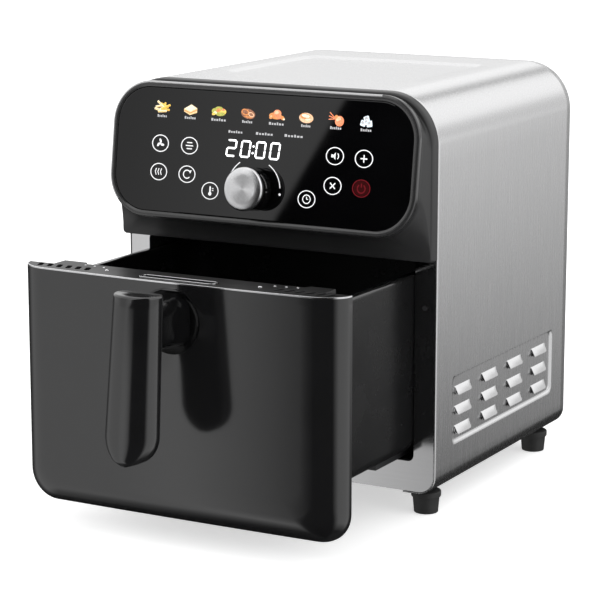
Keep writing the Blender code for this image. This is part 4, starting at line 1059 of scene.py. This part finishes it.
def make_handle():
    base, top = HANDLE_Z[0] + 0.00025, HANDLE_Z[1]
    heights = [base + (0.0225 - 0.00025) * (1 - cos(pi / 2 * i / 16)) for i in range(17)]
    heights += run(HANDLE_Z[0] + 0.0225, top - 0.0016, 14)[1:]
    stations = [(z, 0.0) for z in heights]
    for angle in (22.5, 45, 67.5, 90):
        turn = radians(angle)
        stations.append((top - 0.0016 + 0.0016 * sin(turn), 0.0016 * (1 - cos(turn))))
    front, back = [], []
    for z, inset in stations:
        near, far = handle_at(z)[1:]
        half, near, far = handle_half(z) - inset, near + inset, far - inset * 0.4
        seam = handle_at(z)[2] - HANDLE_BACK_THICKNESS
        near = seam + (near - seam) * (0.8 + 0.2 * smooth((z - HANDLE_Z[0]) / 0.005))
        turns = [cos(pi * i / 32) for i in range(33)]
        bulge = [(-half * c, seam - 0.00015 - (seam - near) * sqrt(1.0 - abs(c) ** 2.8)) for c in turns]
        front.append(level(bulge + [(half - 0.0006, seam - 0.00015), (-half + 0.0006, seam - 0.00015)], z))
        side = [(half - 0.0003 - (half - half * 0.8) * t,
                 seam + 0.001 + (far - seam - 0.001) * sin(pi / 2 * t))
                for t in (0.0, 0.2, 0.4, 0.6, 0.8, 1.0)]
        flat = [(-half + 0.0003, seam + 0.00015), (half - 0.0003, seam + 0.00015)]
        back.append(level(flat + side + [(-x, y) for x, y in reversed(side)], z))
    piece("handle_front_shell", loft(front), "gloss", "drawer", ["handle_grip_front"], sharp=55.0)
    piece("handle_back_shell", loft(back), "satin", "drawer", ["handle_grip_back"], sharp=50.0)

    outline = rounded(NECK_HALF_WIDTH, *NECK_Z, 0.01, 0.01, 10)
    rings = [[(x, handle_at(z)[2] + 0.0002, z) for x, z in outline]]
    start, end = -0.192, DRAWER_FRONT_Y + 0.003
    for t in run(0.0, 1.0, 12):
        flare = 0.0022 * smooth((t - 0.6) / 0.4) ** 1.5
        corner = 0.01 + flare
        wide = rounded(NECK_HALF_WIDTH + flare, NECK_Z[0] - flare, NECK_Z[1] + flare, corner, corner, 10)
        rings.append(upright(wide, start + (end - start) * t))
    piece("handle_bridge", loft(rings), "gloss", "drawer", ["handle_neck"], sharp=50.0)


def tub_ring(inset, z, corner):
    front, rear = TUB_Y[0] + inset, TUB_Y[1] - inset
    return level(rounded(TUB_HALF_WIDTH - inset, front, rear, corner, corner, 16), z)


def make_tub():
    low, high = TUB_Z
    sheet, lip, corner = TUB_SHEET, TUB_LIP, TUB_CORNER
    steps = [(0.03, low, -0.012)]
    for i in range(9):
        angle = radians(11.25 * i)
        rise = low + 0.01 * (1 - cos(angle))
        steps.append((0.0104 - 0.01 * sin(angle), rise, -0.008 * (1 - sin(angle))))
    steps.append((0.0002, high - 0.004, 0.0))
    for i in range(7):
        angle = radians(15.0 * i)
        steps.append((0.0022 * (1 - cos(angle)), high - 0.0022 * (1 - sin(angle)), 0.0))
    steps += [(lip - 0.0008, high, -0.006), (lip - 0.0002, high - 0.0003, -0.006),
              (lip, high - 0.0009, -0.006),
              (lip - 0.0004, high - sheet, -0.006), (0.0004 + sheet, high - 0.005, -0.002)]
    for i in range(9):
        angle = radians(90.0 - 11.25 * i)
        rise = low + sheet + 0.009 * (1 - cos(angle))
        steps.append((0.0104 + sheet - 0.009 * sin(angle), rise, -0.009 + 0.007 * sin(angle)))
    steps.append((0.03, low + sheet, -0.012))
    mesh = loft([tub_ring(inset, z, corner + change) for inset, z, change in steps])
    for face in mesh.faces:
        middle = face.calc_center_median()
        edge = inside_distance(middle.x, middle.y - sum(TUB_Y) / 2, TUB_HALF_WIDTH,
                               (TUB_Y[1] - TUB_Y[0]) / 2, corner)
        face.material_index = int(middle.z > high - 0.0024 and edge < lip + 0.001)
    piece("tub_pan", mesh, ("tub", "lip"), "drawer", ["tub"], sharp=60.0)


def make_crisper():
    middle, pitch = sum(CRISPER_Y) / 2, 0.0178
    holes = []
    for x in [(i - 5) * pitch for i in range(11)]:
        for y in [(j - 4.5) * pitch for j in range(10)]:
            if abs(x) <= 0.08 or abs(y) <= 0.075:
                holes.append(circle((x, middle + y), 0.0042, 14))
    outline = rounded(CRISPER_HALF_WIDTH, *CRISPER_Y, 0.012, 0.012, 8)
    mesh = plate(outline, holes, CRISPER_Z, CRISPER_Z + 0.0015)
    soften(piece("crisper_tray", mesh, "tub", "crisper", ["crisper_plate"]), 0.0003)


# ---- carried-over nodes ----

KEPT = {
    "satin": ("drawer_inner_plate", "tub_runner_left", "tub_runner_right", "rail_left", "rail_right",
              "display_module", "drawer_switch", "switch_plunger"),
    "zinc": ("cavity_liner", "encoder_body", "knob_shaft", "motor_bracket"),
    "alu": ("heat_reflector", "fan_impeller", "motor_body"),
    "bright": ("temperature_probe", "heater_guard", "motor_shaft", "lower_bearing", "upper_bearing",
               "handle_screw_1", "handle_screw_2"),
    "heater": ("heating_element",),
    "board": ("control_board", "power_board"),
    "iron": ("transformer",),
    "white": ("encoder_plunger", "cooling_impeller"),
    "silicone": ("bumper_left", "bumper_right", "bumper_front", "bumper_rear"),
}


def finish_kept():
    for key, names in KEPT.items():
        for name in names:
            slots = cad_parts[name].data.materials
            slots.clear()
            slots.append(M[key])
    for name in KEPT["satin"] + KEPT["silicone"] + KEPT["iron"]:
        soften(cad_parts[name], 0.0006, angle=40.0)


# ---- stage ----


def calc(tree, kind, first, second):
    """A math node. Each operand is a number or another node's output."""
    made = tree.nodes.new("ShaderNodeMath")
    made.operation = kind
    for slot, value in enumerate((first, second)):
        if isinstance(value, (int, float)):
            made.inputs[slot].default_value = value
        else:
            tree.links.new(value, made.inputs[slot])
    return made.outputs["Value"]


def blend(tree, share, low, high):
    """low where share is 0 and high where it is 1."""
    return calc(tree, "ADD", calc(tree, "MULTIPLY", share, calc(tree, "SUBTRACT", high, low)), low)


DOME_RADIUS = 9.0
LOW_LIGHT = ((-180, 0.75), (-150, 0.4), (-128, 0.06), (-104, 0.1), (-84, 0.62), (-50, 0.74), (-36, 0.78),
             (-31, 0.95),
             (-28.5, 0.8), (-24, 0.5), (-20, 0.02), (40, 0.02), (60, 0.85), (110, 0.95), (128, 1.55),
             (141, 1.5),
             (154, 0.8), (166, 0.46), (180, 0.75))
FLAG_EDGE, FLAG_LEAN = (-28.9, 0.0985), 24.5


def studio_glow(tree):
    """The studio as gloss sees it: soft boxes and black cards by bearing from the front, and by height."""
    where = tree.nodes.new("ShaderNodeNewGeometry")
    unit = tree.nodes.new("ShaderNodeVectorMath")
    unit.operation = "NORMALIZE"
    tree.links.new(where.outputs["Position"], unit.inputs[0])
    parts = add(tree, "ShaderNodeSeparateXYZ", Vector=unit.outputs["Vector"]).outputs
    rise = parts["Z"]
    forward = calc(tree, "MULTIPLY", parts["Y"], -1.0)
    bearing = calc(tree, "MULTIPLY", calc(tree, "ARCTAN2", parts["X"], forward), 180.0 / pi)
    turned_away = calc(tree, "ABSOLUTE", bearing, 0.0)
    ramp = add(tree, "ShaderNodeValToRGB", Fac=step(tree, bearing, -180.0, 180.0, 0.0, 1.0))
    elements = ramp.color_ramp.elements
    while len(elements) < len(LOW_LIGHT):
        elements.new(0.5)
    for element, (angle, value) in zip(elements, LOW_LIGHT):
        element.position = angle / 360.0 + 0.5
        element.color = (value, value, value, 1.0)
    behind = step(tree, turned_away, 112.0, 130.0, 0.0, 1.0)
    fall = blend(tree, behind, step(tree, rise, -0.88, -0.62, 0.06, 1.0),
                 step(tree, rise, -0.29, -0.03, 0.05, 1.18))
    low = calc(tree, "MULTIPLY", ramp.outputs["Color"], fall)
    past = calc(tree, "SUBTRACT", bearing, FLAG_EDGE[0])
    lean = calc(tree, "MULTIPLY", calc(tree, "SUBTRACT", rise, FLAG_EDGE[1]), FLAG_LEAN)
    card = step(tree, calc(tree, "SUBTRACT", past, lean), -0.05, 0.1, 0.0, 1.0)
    card = calc(tree, "MULTIPLY", card, step(tree, bearing, 46.0, 60.0, 1.0, 0.0))
    rear_card = calc(tree, "MULTIPLY", step(tree, bearing, -176.0, -168.0, 1.0, 0.0),
                     step(tree, rise, 0.2, 0.27, 0.0, 1.0))
    sky = step(tree, rise, 0.16, 0.26, 0.78, 1.28)
    front = calc(tree, "MULTIPLY", sky, step(tree, bearing, -35.0, -29.5, 0.74, 1.25))
    above = blend(tree, step(tree, turned_away, 46.0, 60.0, 0.0, 1.0), front, sky)
    high = calc(tree, "MULTIPLY", blend(tree, rear_card, above, 0.34), calc(tree, "SUBTRACT", 1.0, card))
    return blend(tree, step(tree, rise, -0.02, 0.01, 0.0, 1.0), low, high)


def make_floor():
    paper, tree, shader = shader_of("pale_floor")
    pale = tint(tree, pattern(tree, 3.0), ((0.93, 0.93, 0.93), (0.95, 0.95, 0.95)))
    put(tree, shader, Base_Color=pale, Roughness=0.9, Specular_IOR_Level=0.0,
        Emission_Color=(1.0, 1.0, 1.0, 1.0), Emission_Strength=0.55)
    size = 6.0
    data = bpy.data.meshes.new("floor")
    data.from_pydata([(-size, -size, 0.0), (size, -size, 0.0), (size, size, 0.0), (-size, size, 0.0)], [],
                     [(0, 1, 2, 3)])
    data.materials.append(paper)
    floor = linked("floor", data)
    floor.visible_glossy = False


def make_dome():
    """A dome that only gloss sees, round the whole set."""
    made = bpy.data.materials.new("studio_glow")
    made.use_nodes = True
    tree = made.node_tree
    tree.nodes.clear()
    glow = add(tree, "ShaderNodeEmission", Strength=studio_glow(tree))
    add(tree, "ShaderNodeOutputMaterial", Surface=glow.outputs["Emission"])
    mesh = bmesh.new()
    bmesh.ops.create_uvsphere(mesh, u_segments=96, v_segments=48, radius=DOME_RADIUS)
    data = bpy.data.meshes.new("studio_dome")
    mesh.to_mesh(data)
    mesh.free()
    data.materials.append(made)
    dome = linked("studio_dome", data)
    dome.visible_camera = False
    dome.visible_diffuse = False
    dome.visible_shadow = False
    dome.visible_transmission = False


WORLD_STRENGTH = 1.06
CAMERA_LENS, CAMERA_SENSOR = 140.91, 36.0
CAMERA_PLACE = (0.9005, -1.6214, 0.53865)
CAMERA_DOWN, CAMERA_ROUND = 11.61, 28.83


def make_world_and_camera():
    world = bpy.data.worlds.new("studio")
    world.use_nodes = True
    bpy.context.scene.world = world
    tree = world.node_tree
    put(tree, tree.nodes["Background"], Color=(1.0, 1.0, 1.0, 1.0), Strength=WORLD_STRENGTH)
    camera = bpy.data.cameras.new("camera")
    camera.lens, camera.sensor_width = CAMERA_LENS, CAMERA_SENSOR
    eye = linked("camera", camera)
    eye.location = CAMERA_PLACE
    eye.rotation_euler = (radians(90.0 - CAMERA_DOWN), 0.0, radians(CAMERA_ROUND))
    bpy.context.scene.camera = eye
    bpy.context.scene.view_settings.view_transform = "Standard"


make_wrap()
make_hoods()
make_front()
make_base()
make_feet()
make_rear()
make_exhaust()
make_gland()
make_fascia()
make_panel()
make_print()
make_pictures()
make_knob()
make_drawer_front()
make_ledge()
make_handle()
make_tub()
make_crisper()
finish_kept()
make_floor()
make_dome()
make_world_and_camera()
